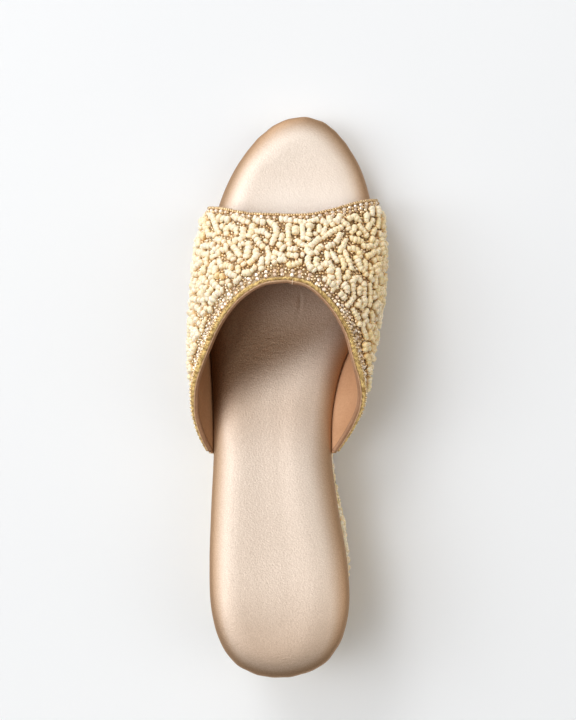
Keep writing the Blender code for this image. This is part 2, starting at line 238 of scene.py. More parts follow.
def section_point(side, way_up, station):
    """Inner face of the upper: out from the footbed edge to its widest, then an elliptic arch."""
    turn = side * turn_of(station)
    full = read(SECTIONS, "medial_full" if side > 0 else "lateral_full", station)
    widest_rise = read(SECTIONS, "widest_rise", station)
    seam = underside(station) + SEAM_RISE
    if way_up < WIDEST:
        share = way_up / WIDEST
        plan = offset_point(turn, SEAM_OUT + full * (1 - (1 - share) ** 2))
        return place(plan, seam + widest_rise * share)
    bend = (way_up - WIDEST) / (1 - WIDEST) * math.pi / 2
    crown_rise = read(SECTIONS, "crown", station) * INSTEP / 100
    crown = Vector((read(SECTIONS, "crown_x", station), station))
    wide = offset_point(turn, SEAM_OUT + full)
    height = widest_rise + (crown_rise - widest_rise) * math.sin(bend)
    return place(crown.lerp(wide, math.cos(bend)), seam + height)


def upper_point(side, way_up, share):
    """Inner face of the upper, share 0 at the throat edge and 1 at the toe edge."""
    throat, toe = edge_stations(side, way_up)
    return section_point(side, way_up, throat + (toe - throat) * share)


def margin_point(side, margin, share):
    throat, toe = edge_stations(side, 0.0)
    plan = offset_point(side * turn_of(throat + (toe - throat) * share), margin.out)
    return place(plan, underside(plan.y) + margin.rise)


# ---------------------------------------------------------------- bench tools


def deselect():
    bpy.ops.object.select_all(action="DESELECT")


def only(piece):
    """Select one piece and make it the one being worked on."""
    deselect()
    piece.select_set(True)
    bpy.context.view_layer.objects.active = piece


def edit_all(*steps):
    """Run edit-mode steps on everything in the piece being worked on."""
    bpy.ops.object.mode_set(mode="EDIT")
    bpy.ops.mesh.select_all(action="SELECT")
    for step, settings in steps:
        step(**settings)
    bpy.ops.object.mode_set(mode="OBJECT")


def named(name):
    piece = bpy.context.object
    piece.name = name
    piece.data.name = name
    return piece


def settle(piece, smooth_angle=None):
    """Put a piece's place into its mesh and smooth its faces."""
    only(piece)
    bpy.ops.object.transform_apply(location=True, rotation=True, scale=True)
    if smooth_angle is None:
        bpy.ops.object.shade_smooth()
    else:
        bpy.ops.object.shade_smooth_by_angle(angle=math.radians(smooth_angle))
    return piece


def fix(piece, kind, **settings):
    """Add one modifier with these settings and apply it."""
    only(piece)
    tool = piece.modifiers.new(kind.lower(), kind)
    for key, value in settings.items():
        setattr(tool, key, value)
    bpy.ops.object.modifier_apply(modifier=tool.name)
    return piece


def mark(piece, key, values, kind="FLOAT", field="value"):
    """Store a value on each corner of a piece, under a name that its finish reads."""
    piece.data.attributes.new(key, kind, "POINT").data.foreach_set(field, values)


def lay_sheet(name, across, along, spot, size=(1.0, 1.0), closed=False):
    """A flat grid laid over a form: spot(i, j) says where each of its corners goes.

    The grid's UV map is stretched to size in millimetres, so cloth and leather keep their scale."""
    deselect()
    bpy.ops.mesh.primitive_grid_add(x_subdivisions=across, y_subdivisions=along, size=2.0)
    sheet = named(name)
    for corner in sheet.data.vertices:
        i = round((corner.co.x + 1) / 2 * across)
        j = round((corner.co.y + 1) / 2 * along)
        corner.co = spot(i, j)
    for loop in sheet.data.uv_layers.active.data:
        loop.uv = (loop.uv[0] * size[0], loop.uv[1] * size[1])
    if closed:
        edit_all((bpy.ops.mesh.remove_doubles, {"threshold": SAME_SPOT}),
                 (bpy.ops.mesh.normals_make_consistent, {"inside": False}))
    bpy.ops.object.shade_smooth()
    return sheet


def finish_piece(piece, finish, slot, *stands_for):
    """Give a piece its finish, body and the CAD nodes that it stands for; the slot is not used."""
    piece.data.materials.clear()
    piece.data.materials.append(finish)
    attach(piece, "root")
    if stands_for:
        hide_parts(*stands_for)
    return piece


def crossing(a, b):
    """A smooth step from 0 at a to 1 at b."""
    def read_step(x):
        t = clamped((x - a) / (b - a))
        return t * t * (3 - 2 * t)
    return read_step


def bell(x, middle, width):
    """A smooth hump of 1 at the middle."""
    return math.exp(-((x - middle) / width) ** 2)


# ---------------------------------------------------------------- effects that finishes share


def opaque(colour):
    """A plain colour with full alpha; a socket passes through."""
    return (*colour, 1.0) if isinstance(colour, tuple) else colour


def effect(name, inputs, outputs):
    """An empty shader node group: its bench, its named inputs and its named outputs."""
    group = bpy.data.node_groups.new(name, "ShaderNodeTree")
    for socket, kind, value in inputs:
        made = group.interface.new_socket(name=socket, in_out="INPUT",
                                          socket_type="NodeSocket" + kind)
        if value is not None:
            made.default_value = value
    for socket, kind in outputs:
        group.interface.new_socket(name=socket, in_out="OUTPUT", socket_type="NodeSocket" + kind)
    given, result = (group.nodes.new("NodeGroup" + end) for end in ("Input", "Output"))
    return Bench(group), given.outputs, result.inputs


class Bench:
    """Short hand for placing and joining nodes in one tree."""

    def __init__(self, tree):
        self.tree = tree

    def add(self, kind, inputs=None, **settings):
        node = self.tree.nodes.new(kind)
        for key, value in settings.items():
            setattr(node, key, value)
        for key, value in (inputs or {}).items():
            self.feed(node.inputs[key], value)
        return node

    def feed(self, socket, value):
        if isinstance(value, bpy.types.NodeSocket):
            self.tree.links.new(value, socket)
        elif isinstance(value, bpy.types.Node):
            self.tree.links.new(value.outputs[0], socket)
        else:
            socket.default_value = value

    def math(self, operation, *values):
        node = self.add("ShaderNodeMath", operation=operation)
        for socket, value in zip(node.inputs, values):
            self.feed(socket, value)
        return node.outputs[0]

    def scaled(self, value, share, base):
        """share of a value, added to a base."""
        return self.math("MULTIPLY_ADD", value, share, base)

    def spread(self, value, start, end, top=1.0):
        """0 where a value is at its start, top where it is at its end."""
        return self.add("ShaderNodeMapRange", {"Value": value, "From Min": start, "From Max": end,
                                               "To Max": top}).outputs["Result"]

    def noise(self, spot, scale, detail=2.0, distortion=0.0):
        return self.add("ShaderNodeTexNoise", {"Vector": spot, "Scale": scale, "Detail": detail,
                                               "Distortion": distortion}).outputs["Fac"]

    def ramp(self, source, *stops):
        node = self.add("ShaderNodeValToRGB", {"Fac": source})
        ramp = node.color_ramp
        while len(ramp.elements) < len(stops):
            ramp.elements.new(0.5)
        for element, (position, colour) in zip(ramp.elements, stops):
            element.position = position
            element.color = opaque(colour)
        return node.outputs[0]

    def mix(self, share, low, high, blend="MIX"):
        node = self.add("ShaderNodeMix", data_type="RGBA", blend_type=blend)
        self.feed(node.inputs["Factor"], share)
        self.feed(node.inputs["A"], opaque(low))
        self.feed(node.inputs["B"], opaque(high))
        return node.outputs["Result"]

    def bump(self, height, strength, distance, over=None):
        """Relief from a height, on top of another relief where there is one."""
        node = self.add("ShaderNodeBump", {"Height": height, "Strength": strength,
                                           "Distance": distance})
        if over is not None:
            self.feed(node.inputs["Normal"], over)
        return node.outputs["Normal"]


def make_leather_grain():
    """Fine pebbled grain with a slow drift of tone: Height for bump, Tone for colour."""
    bench, given, result = effect(
        "leather_grain",
        [("Place", "Vector", None), ("Pebble", "Float", 1400.0), ("Drift", "Float", 25.0)],
        [("Height", "Float"), ("Tone", "Float")],
    )
    warp = bench.noise(given["Place"], given["Pebble"])
    cells = bench.add("ShaderNodeTexVoronoi", {"Vector": given["Place"], "Scale": given["Pebble"]},
                      feature="SMOOTH_F1")
    pebbles = bench.math("MULTIPLY", cells.outputs["Distance"], 0.7)
    bench.feed(result["Height"], bench.math("ADD", pebbles, bench.math("MULTIPLY", warp, 0.6)))
    bench.feed(result["Tone"], bench.noise(given["Place"], given["Drift"], 3.0))
    return bench.tree


def make_plain_weave():
    """Over-and-under weave on a UV map in millimetres: Height for bump, Thread for colour."""
    bench, given, result = effect(
        "plain_weave",
        [("Place", "Vector", None), ("Threads per mm", "Float", 2.2)],
        [("Height", "Float"), ("Thread", "Float")],
    )
    scaled = bench.add("ShaderNodeVectorMath", {0: given["Place"]}, operation="SCALE")
    bench.feed(scaled.inputs["Scale"], bench.math("MULTIPLY", given["Threads per mm"], math.pi))
    parts = bench.add("ShaderNodeSeparateXYZ", {0: scaled.outputs[0]})
    warp = bench.math("SINE", parts.outputs["X"])
    weft = bench.math("SINE", parts.outputs["Y"])
    over = bench.math("GREATER_THAN", bench.math("MULTIPLY", warp, weft), 0.0)
    height = bench.mix(over, bench.math("ABSOLUTE", warp), bench.math("ABSOLUTE", weft))
    bench.feed(result["Height"], height)
    bench.feed(result["Thread"], over)
    return bench.tree


def make_rub():
    """Wear that follows a piece's raised edges: Mask is 1 where the finish is rubbed."""
    bench, given, result = effect(
        "rubbed_edges",
        [("Place", "Vector", None), ("Scale", "Float", 90.0), ("Amount", "Float", 0.5)],
        [("Mask", "Float")],
    )
    shape = bench.add("ShaderNodeNewGeometry")
    edge = bench.ramp(shape.outputs["Pointiness"], (0.47, (0.0, 0.0, 0.0)), (0.56, (1.0, 1.0, 1.0)))
    broken = bench.math("MULTIPLY", edge, bench.noise(given["Place"], given["Scale"], 4.0))
    bench.feed(result["Mask"], bench.math("MULTIPLY", broken, given["Amount"]))
    return bench.tree


LEATHER_GRAIN = make_leather_grain()
PLAIN_WEAVE = make_plain_weave()
RUBBED_EDGES = make_rub()


# ---------------------------------------------------------------- finishes
TOE_LIGHT_FOIL = (0.95, 0.86, 0.765)        # painted light: footbed leather lightened just in front of the vamp's toe edge
VAMP_SHADOW_FOIL = (0.29, 0.175, 0.08)      # painted shadow: its tint under the vamp, where the vamp shades it
ROLL_SHADE_FOIL = (0.53, 0.385, 0.255)      # painted shade: its tint where it rolls under, at the back of the heel and across the waist
# painted shade of the lining's outer side
OUTER_SHADE_LINING = (0.70, 0.66, 0.60)
GROUND_THREAD = (0.68, 0.48, 0.25)
# painted light of the ground cloth on the outer side
OUTER_LIGHT_GROUND = (0.92, 0.76, 0.50)
SCUFFED_SOLE = (0.62, 0.48, 0.34)
WHITE = (1.0, 1.0, 1.0)


class Finish(Bench):
    """A material with one Principled shader; its uniform values sit on the shader's own sockets."""

    def __init__(self, name, **uniform):
        self.material = bpy.data.materials.new(name)
        self.material.use_nodes = True
        super().__init__(self.material.node_tree)
        self.shader = self.tree.nodes["Principled BSDF"]
        for key, value in uniform.items():
            self.shader.inputs[key.replace("_", " ")].default_value = value
        where = self.add("ShaderNodeTexCoord").outputs
        self.place, self.flat_map = where["Object"], where["UV"]

    def use(self, group, **inputs):
        """Place a shared effect in the material with its own values."""
        node = self.add("ShaderNodeGroup")
        node.node_tree = group
        for key, value in inputs.items():
            self.feed(node.inputs[key], value)
        return node.outputs

    def marked(self, name):
        """A value stored on the piece's own corners."""
        return self.add("ShaderNodeAttribute", attribute_name=name).outputs["Fac"]

    def across(self):
        """Distance from the shoe's middle plane, negative on the outer side."""
        return self.add("ShaderNodeSeparateXYZ", {0: self.place}).outputs["X"]

    def complete(self, **layers):
        """Feed what changes over the surface to the shader, and hand the material over."""
        for key, value in layers.items():
            self.feed(self.shader.inputs[key.replace("_", " ")], value)
        return self.material


def metallic_leather():
    """Champagne foil-coated leather of the footbed: fine grain, with painted shade where it rolls
    under, a painted shadow under the vamp and painted light at the toe.
    """
    bench = Finish("champagne_leather", Metallic=0.6, IOR=1.5, Coat_Roughness=0.3)
    grain = bench.use(LEATHER_GRAIN, Place=bench.place, Pebble=1500.0, Drift=22.0)
    foil = bench.ramp(grain["Tone"], (0.3, (0.765, 0.63, 0.515)), (0.72, (0.83, 0.705, 0.59)))
    flecks = bench.ramp(bench.noise(bench.place, 2600.0),
                        (0.35, (0.40, 0.28, 0.20)), (0.68, (0.95, 0.82, 0.70)))
    # painted shadow under the vamp, where more dark flecks show too
    vamp_shadow = bench.marked("vamp_shadow")
    flecked = bench.mix(bench.scaled(vamp_shadow, 0.4, 0.28), foil, flecks)
    # painted light on the top just in front of the vamp's toe edge
    bright = bench.mix(bench.marked("toe_light"), flecked, TOE_LIGHT_FOIL)
    light_and_shade = bench.mix(vamp_shadow, bright, VAMP_SHADOW_FOIL, "MULTIPLY")
    stretched = bench.add("ShaderNodeMapping", {"Vector": bench.place, "Scale": (0.4, 1.0, 1.0)})
    folds = bench.noise(stretched, 430.0, distortion=0.6)
    pinched = bench.bump(bench.math("MULTIPLY", folds, bench.marked("flexed")), 0.34, 0.0005)
    # painted shade where the pad rolls under, at the back of the heel and across the waist
    roll_shade = bench.mix(bench.marked("roll_shade"), light_and_shade, ROLL_SHADE_FOIL, "MULTIPLY")
    return bench.complete(Base_Color=roll_shade,
                          Roughness=bench.scaled(grain["Height"], 0.08, 0.42),
                          Normal=bench.bump(grain["Height"], 0.6, 0.00015, over=pinched))


def lining_leather(name, light, dark):
    """Thin skiver lining with soft broken wrinkles, with painted shade on the outer side."""
    bench = Finish(name, IOR=1.45, Specular_IOR_Level=0.28)
    grain = bench.use(LEATHER_GRAIN, Place=bench.place, Pebble=1900.0, Drift=38.0)
    speck = bench.scaled(bench.noise(bench.place, 1100.0, 3.0), 0.7, -0.35)
    tone = bench.ramp(bench.math("ADD", grain["Tone"], speck), (0.3, dark), (0.7, light))
    # painted shade: darker on the outer side, which faces away from the light
    outer_shade = bench.spread(bench.across(), -0.016, -0.032)
    wrinkled = bench.scaled(bench.noise(bench.place, 120.0, 3.0), 1.4, grain["Height"])
    return bench.complete(Base_Color=bench.mix(outer_shade, tone, OUTER_SHADE_LINING, "MULTIPLY"),
                          Roughness=bench.scaled(grain["Height"], 0.15, 0.52),
                          Normal=bench.bump(wrinkled, 0.3, 0.00015))


def beaded_ground():
    """Golden tan woven ground that shows between the beads, with painted light on the outer side."""
    bench = Finish("golden_ground_cloth", Sheen_Weight=0.2, IOR=1.45)
    weave = bench.use(PLAIN_WEAVE, Place=bench.flat_map)
    tone = bench.ramp(bench.noise(bench.place, 160.0, 3.0),
                      (0.3, (0.37, 0.225, 0.10)), (0.7, (0.60, 0.40, 0.20)))
    threads = bench.mix(bench.math("MULTIPLY", weave["Thread"], 0.35), tone, GROUND_THREAD)
    # painted light: paler on the outer side, where the light falls
    outer_light = bench.spread(bench.across(), 0.002, -0.03, 0.7)
    return bench.complete(Base_Color=bench.mix(outer_light, threads, OUTER_LIGHT_GROUND),
                          Roughness=bench.scaled(weave["Height"], -0.2, 0.66),
                          Normal=bench.bump(weave["Height"], 0.6, 0.00018))


def ivory_bead():
    """Opaque ivory glass: chalky cream, with painted warm shade low down between its neighbours."""
    bench = Finish("ivory_bead", IOR=1.5, Subsurface_Weight=0.15,
                   Subsurface_Radius=(1.0, 0.62, 0.3), Subsurface_Scale=0.0007)
    body = bench.ramp(bench.marked("tone"), (0.0, (0.98, 0.75, 0.39)), (0.3, (0.98, 0.815, 0.53)),
                      (0.75, (0.97, 0.845, 0.645)), (1.0, (0.98, 0.88, 0.72)))
    # painted shade: warmer and darker low down on each bead, where its neighbours shade it
    glow = bench.ramp(bench.marked("height"), (0.12, (0.88, 0.64, 0.35)), (0.45, (0.97, 0.85, 0.63)),
                      (0.75, WHITE))
    chalk = bench.noise(bench.place, 900.0)
    stain = bench.ramp(chalk, (0.3, (0.95, 0.89, 0.76)), (0.65, WHITE))
    low_shaded = bench.mix(1.0, body, glow, "MULTIPLY")
    return bench.complete(Base_Color=bench.mix(0.6, low_shaded, stain, "MULTIPLY"),
                          Roughness=bench.scaled(chalk, 0.25, 0.28),
                          Normal=bench.bump(chalk, 0.18, 0.0001))


def foil_bead(name, metallic, rough, *stops):
    """Silver-lined glass: a bright metal core whose colour changes from bead to bead."""
    bench = Finish(name, Metallic=metallic, IOR=1.5, Coat_Weight=0.6, Coat_Roughness=0.06)
    cut = bench.noise(bench.place, 2200.0, 1.0)
    return bench.complete(Base_Color=bench.ramp(bench.marked("tone"), *stops),
                          Roughness=bench.scaled(cut, 0.1, rough),
                          Normal=bench.bump(cut, 0.1, 0.0001))


def metal_thread(name, light, dark, metallic, rough, wraps):
    """Thread wound with fine filament; the filaments run round the piece's own UV map."""
    bench = Finish(name, Metallic=metallic, IOR=1.45, Specular_IOR_Level=0.3)
    winding = {"Vector": bench.flat_map, "Scale": wraps, "Distortion": 1.2, "Detail": 1.0}
    wound = bench.add("ShaderNodeTexWave", winding, bands_direction="DIAGONAL").outputs["Fac"]
    cloudy = bench.noise(bench.place, 700.0)
    tone = bench.mix(bench.spread(cloudy, 0.36, 0.62), dark, light)
    return bench.complete(Base_Color=bench.mix(bench.math("MULTIPLY", wound, 0.35), tone, light),
                          Roughness=bench.scaled(cloudy, 0.2, rough),
                          Normal=bench.bump(wound, 0.5, 0.0001))


def sole_rubber():
    """Tan moulded outsole: faint stipple, scuffed and paler where it touches the ground."""
    bench = Finish("tan_sole", IOR=1.5)
    grain = bench.use(LEATHER_GRAIN, Place=bench.place, Pebble=900.0, Drift=18.0)
    tone = bench.ramp(grain["Tone"], (0.3, (0.30, 0.185, 0.10)), (0.7, (0.40, 0.26, 0.15)))
    rub = bench.use(RUBBED_EDGES, Place=bench.place, Scale=240.0, Amount=0.8)
    return bench.complete(Base_Color=bench.mix(rub["Mask"], tone, SCUFFED_SOLE),
                          Roughness=bench.scaled(grain["Height"], 0.2, 0.5),
                          Normal=bench.bump(grain["Height"], 0.35, 0.0002))


def pale_floor():
    bench = Finish("pale_floor", IOR=1.4, Roughness=0.75)
    haze = bench.noise(bench.place, 3.0)
    tone = bench.ramp(haze, (0.3, (0.85, 0.86, 0.87)), (0.7, (0.875, 0.885, 0.89)))
    return bench.complete(Base_Color=tone)


CHAMPAGNE = metallic_leather()
LINING = lining_leather("peach_lining", (0.64, 0.355, 0.195), (0.55, 0.285, 0.145))
TURNED_EDGE = lining_leather("turned_edge_leather", (0.52, 0.285, 0.165), (0.38, 0.20, 0.11))
BROWN_FOLD = lining_leather("brown_folded_edge", (0.38, 0.23, 0.12), (0.26, 0.145, 0.07))
GROUND = beaded_ground()
IVORY = ivory_bead()
GOLD_BEAD = foil_bead("gold_lined_bead", 0.65, 0.18,
                      (0.0, (0.46, 0.28, 0.11)), (0.35, (0.84, 0.60, 0.32)),
                      (0.8, (0.96, 0.78, 0.52)), (1.0, (0.99, 0.90, 0.72)))
CRYSTAL = foil_bead("champagne_crystal", 0.4, 0.16, (0.0, (0.68, 0.46, 0.30)),
                    (0.5, (0.88, 0.69, 0.51)), (1.0, (0.97, 0.85, 0.71)))
ZARI = metal_thread("zari_gold", (1.0, 0.75, 0.32), (0.38, 0.21, 0.06), 0.5, 0.32, 3.0)
PIPING = metal_thread("golden_piping", (0.84, 0.55, 0.34), (0.62, 0.37, 0.20), 0.0, 0.5, 4.0)
PALE_THREAD = metal_thread("cream_thread", (0.86, 0.68, 0.48), (0.66, 0.46, 0.28), 0.1, 0.45, 4.0)
SOLE = sole_rubber()
FLOOR = pale_floor()


# ---------------------------------------------------------------- outsole
SOLE_AROUND = 220
SOLE_ROWS = (             # inset from the sole's edge and rise; no inset is the middle line
    (None, 0.0), (7.0, 0.0), (0.7, 0.0), (0.2, 0.15), (0.0, 0.6), (0.0, 1.35), (0.18, 1.55),
    (0.18, 1.75), (0.0, 1.95), (0.0, 2.6), (0.4, SOLE_THICKNESS), (None, SOLE_THICKNESS),
)
TREADS = ((16.0, 52.0), (152.0, 188.0))
GROOVE_PITCH = 6.0
GROOVE_WIDTH = 1.6
GROOVE_MARGIN = 12.0      # a groove is this much shorter than the footbed is wide


def sole_ring_point(turn, rise, inset):
    foot = WEDGE_WALL[-1].lean + undercut(station_of(turn)) - SOLE_PROUD
    plan = offset_point(turn, wedge_top_out(turn) - foot - inset)
    return place(plan, floor_line(plan.y) + rise)


def undercut(station):
    """Extra lean of the heel's back wall at the floor."""
    return HEEL_UNDERCUT * max(1 - station / UNDERCUT_END, 0.0) ** 2


@lru_cache(maxsize=None)
def wedge_top_out(turn):
    """How far the top of the wedge stands out from the footbed outline."""
    side = "medial" if math.sin(turn) >= 0 else "lateral"
    return read(WEDGE_FULLNESS, side, station_of(turn) / LENGTH * 100)


def spine_of(point):
    """The nearest place on the shoe's middle line, which closes the rings of a loft."""
    station = clamped(point.y, *SPINE_ENDS)
    share = station / LENGTH * 100
    middle = (read(PLAN, "lateral", share) + read(PLAN, "medial", share)) / 2
    return Vector((middle * BALL_WIDTH / 100, station))


def build_outsole():
    def spot(i, j):
        turn = 2 * math.pi * i / SOLE_AROUND
        inset, rise = SOLE_ROWS[j]
        if inset is not None:
            return sole_ring_point(turn, rise, inset)
        middle = spine_of(outline_point(turn))
        return place(middle, floor_line(middle.y) + rise)

    outsole = lay_sheet("outsole_tread", SOLE_AROUND, len(SOLE_ROWS) - 1, spot, (600.0, 20.0),
                        closed=True)
    for start, end in TREADS:
        for k in range(int((end - start) / GROOVE_PITCH) + 1):
            cut_groove(outsole, start + k * GROOVE_PITCH)
    return settle(outsole, 35)


def cut_groove(outsole, station):
    """One groove across the sole, cut with a bar that is then thrown away."""
    outer, inner = (outline_point(side * turn_of(station)).x for side in (-1, 1))
    deselect()
    bpy.ops.mesh.primitive_cube_add(
        size=1.0, location=place(Vector(((outer + inner) / 2, station)), floor_line(station)))
    bar = named("groove_bar")
    size = (inner - outer - GROOVE_MARGIN, GROOVE_WIDTH, GROOVE_WIDTH)
    edit_all((bpy.ops.transform.resize, {"value": [side * MM for side in size]}),
             (bpy.ops.mesh.bevel, {"offset": 0.3 * MM, "segments": 2, "affect": "EDGES"}))
    fix(outsole, "BOOLEAN", operation="DIFFERENCE", solver="EXACT", object=bar)
    bpy.data.objects.remove(bar)


# ---------------------------------------------------------------- wedge
WEDGE_AROUND = 240
WEDGE_DROPS = (1.0, 0.9, 0.8, 0.7, 0.6, 0.5, 0.4, 0.3, 0.2, 0.12, 0.06, 0.02, 0.0)
SEAT = 0.05               # the wedge's cover stands this far off the sole
MARGIN_STEP = 1.9         # it is cut this low where the upper's margins turn in under the footbed


def wedge_point(turn, drop):
    """Face of the wedge's covering at one share of the way down its wall."""
    station = station_of(turn)
    lean = read(WEDGE_WALL, "lean", drop, "drop") + undercut(station) * drop
    plan = offset_point(turn, wedge_top_out(turn) - lean - BEAD_RELIEF)
    top = underside(plan.y) - GAP
    foot = floor_line(plan.y) + SOLE_THICKNESS + SEAT
    return place(plan, top + (foot - top) * drop)


def build_wedge_cover():
    def spot(i, j):
        turn = 2 * math.pi * i / WEDGE_AROUND
        middle = spine_of(outline_point(turn))
        if j == 0:
            return place(middle, floor_line(middle.y) + SOLE_THICKNESS + SEAT)
        if j > len(WEDGE_DROPS):
            return place(middle, underside(middle.y) - MARGIN_STEP)
        drop = WEDGE_DROPS[j - 1]
        station = station_of(turn)
        covered = crossing(92.0, 97.0)(station) * (1 - crossing(207.0, 212.0)(station))
        face = wedge_point(turn, drop)
        face.z -= MARGIN_STEP * MM * covered * (1 - crossing(0.0, 0.5)(drop))
        return face

    return lay_sheet("wedge_cover", WEDGE_AROUND, len(WEDGE_DROPS) + 1, spot, (600.0, 60.0),
                     closed=True)


# ---------------------------------------------------------------- footbed
FOOTBED_AROUND = 300
Roll = namedtuple("Roll", "inset rise")
FOOTBED_ROLL = (
    Roll(9.0, 0.0), Roll(3.0, 0.0), Roll(1.2, 0.1), Roll(0.45, 0.6), Roll(0.1, 1.4), Roll(0.0, 2.3),
    Roll(0.06, 3.1), Roll(0.35, 3.9), Roll(0.9, 4.6), Roll(1.6, 5.15), Roll(2.5, 5.65),
    Roll(3.6, 6.12), Roll(4.9, 6.55), Roll(6.4, 6.93), Roll(8.1, 7.22), Roll(10.0, 7.42),
    Roll(12.5, 7.5),
)
SHOULDER = FOOTBED_ROLL[5:]             # from the widest line up to the flat top
TOP_RINGS = 30
Padding = namedtuple("Padding", "station fullness")
PADDING = (
    Padding(0.0, 1.0), Padding(100.0, 1.0), Padding(128.0, 1.08), Padding(160.0, 1.2),
    Padding(188.0, 1.24), Padding(215.0, 1.03), Padding(232.0, 0.83), Padding(LENGTH, 0.7),
)
Crease = namedtuple("Crease", "x station heading length width depth")
CREASES = (
    Crease(5.0, 163.0, 100.0, 5.5, 0.7, 0.36), Crease(4.2, 158.5, 70.0, 3.0, 0.8, 0.18),
    Crease(-24.0, 148.0, 78.0, 16.0, 2.6, 0.22), Crease(-20.0, 137.0, 70.0, 14.0, 2.2, 0.16),
)
CREASE_LIP = 0.28         # how far the leather swells beside a crease, as a share of its depth
PLEAT_DEPTH = 0.16


def crease_sink(x, station):
    """How far the leather dips in the creases near one place."""
    sink = 0.0
    for crease in CREASES:
        run = Vector((math.cos(math.radians(crease.heading)), math.sin(math.radians(crease.heading))))
        step = Vector((x - crease.x, station - crease.station))
        along = step.dot(run) / (crease.length / 2)
        across = step.dot(Vector((-run.y, run.x))) / crease.width
        if abs(along) < 2.2 and abs(across) < 4:
            reach = crease.depth * math.exp(-along * along * 1.2)
            sink += reach * (math.exp(-across * across) - CREASE_LIP * bell(abs(across), 1.7, 1.0))
    return sink


def pleat(turn, station):
    """Small gathers where the leather is pulled round the heel and the toe."""
    ends = 1 - crossing(6.0, 30.0)(station) + crossing(222.0, 240.0)(station)
    wave = math.sin(turn * 46 + 1.3 * math.sin(turn * 7)) * 0.6 + math.sin(turn * 29 + 2.0) * 0.4
    return PLEAT_DEPTH * ends * wave


def inner_ease(turn):
    """The pad rolls over more gently on the inner side of the heel and waist."""
    return 1 + 0.3 * max(math.sin(turn), 0.0) * (1 - crossing(150.0, 200.0)(station_of(turn)))


def footbed_spot(i, j):
    """Corner j of rib i: under the rim, round the roll, then in to the middle line."""
    turn = 2 * math.pi * i / FOOTBED_AROUND
    rim = outline_point(turn)
    middle = spine_of(rim)
    inward = (middle - rim).normalized()
    if j == 0:
        return place(middle, underside(middle.y))
    if j <= len(FOOTBED_ROLL):
        roll = FOOTBED_ROLL[j - 1]
        fold = pleat(turn, rim.y) * bell(roll.rise, 2.2, 2.4)
        plan = rim + inward * roll.inset * inner_ease(turn) - outward(turn) * fold
        rise = roll.rise
    else:
        share = (j - len(FOOTBED_ROLL)) / TOP_RINGS
        start = rim + inward * FOOTBED_ROLL[-1].inset * inner_ease(turn)
        plan = start.lerp(middle, share)
        dish = 0.25 - 0.15 * crossing(70.0, 150.0)(plan.y)
        rise = FOOTBED_ROLL[-1].rise - dish * crossing(0.0, 0.8)(share)
    top = crossing(5.0, 7.0)(rise)
    rise *= read(PADDING, "fullness", plan.y)
    return place(plan, underside(plan.y) + rise - top * crease_sink(plan.x, plan.y))


def light_and_shade_at(x, station, rise):
    """Painted shade where the pad rolls under, painted shadow of the vamp, flex and painted light at
    the toe, at one place of the footbed, each 0 to 1.
    """
    rise /= read(PADDING, "fullness", station)
    inset = np.interp(rise, [row.rise for row in SHOULDER], [row.inset for row in SHOULDER])
    on_top = crossing(0.5, 9.0)(inset)
    outer = crossing(8.0, 24.0)(-x)
    # painted shade at the back of the heel and across the waist, more on its outer side
    heel_shade = (0.5 * (1 - crossing(4.0, 46.0)(station))
                  + 0.08 * (1 - crossing(60.0, 110.0)(station)))
    waist_shade = (0.28 + 0.2 * outer) * bell(station, 117.0, 17.0)
    roll_shade = max(1 - on_top, heel_shade, waist_shade)

    # the painted shadow of the vamp starts on a slanting line, which turns back towards the outer
    # edge, where the wing's shadow falls
    boundary = 135.5 + 0.58 * (x + 2.0) - 0.8 * max(-22.0 - x, 0.0)
    vamp_shadow = crossing(-14.0, 10.0)(station - boundary) * (1 - crossing(174.0, 197.0)(station))
    vamp_shadow *= clamped(0.82 - 0.003 * x, 0.3)
    vamp_shadow *= 1 - 0.2 * crossing(143.0, 160.0)(station) * crossing(-22.0, -4.0)(x)

    flexed = math.exp(-((x + 12.0) / 20.0) ** 2 - ((station - 140.0) / 19.0) ** 2)
    # painted light just in front of the vamp's toe edge, less towards the tip and on the outer side
    toe_light = 0.75 * on_top * crossing(186.0, 200.0)(station)
    toe_light *= (1 - 0.55 * crossing(203.0, 222.0)(station)) * (1 - 0.6 * crossing(2.0, 24.0)(-x))
    return roll_shade, vamp_shadow, flexed, toe_light


def build_footbed():
    rows = len(FOOTBED_ROLL) + TOP_RINGS
    footbed = lay_sheet("footbed_cover", FOOTBED_AROUND, rows, footbed_spot, (600.0, 60.0),
                        closed=True)
    light_and_shade = []
    for corner in footbed.data.vertices:
        station = station_at(corner.co)
        light_and_shade.append(light_and_shade_at(corner.co.x / MM, station, corner.co.z / MM - underside(station)))
    for key, values in zip(("roll_shade", "vamp_shadow", "flexed", "toe_light"), zip(*light_and_shade)):
        mark(footbed, key, values)
    return footbed


# ---------------------------------------------------------------- upper: cloth and lining
ARCH_STEPS = 60
FAN_STEPS = 56


def upper_columns(margins):
    """Spot functions for the columns of the upper, from one seam over the crown to the other."""
    columns = []
    for side in (-1, 1):
        half = [lambda share, s=side, m=margin: margin_point(s, m, share) for margin in margins]
        for k in range(ARCH_STEPS + (side < 0)):
            half.append(lambda share, s=side, w=k / ARCH_STEPS: upper_point(s, w, share))
        columns += half if side < 0 else half[::-1]
    return columns


def lay_upper(name, margins, stand_off):
    """An open sheet on the last, lifted off it by stand_off millimetres."""
    columns = upper_columns(margins)

    def spot(i, j):
        return columns[i](j / FAN_STEPS)

    sheet = lay_sheet(name, len(columns) - 1, FAN_STEPS, spot, (165.0, 75.0))
    if stand_off:
        lifts = [corner.normal * stand_off * MM for corner in sheet.data.vertices]
        for corner, lift in zip(sheet.data.vertices, lifts):
            corner.co += lift
    return sheet


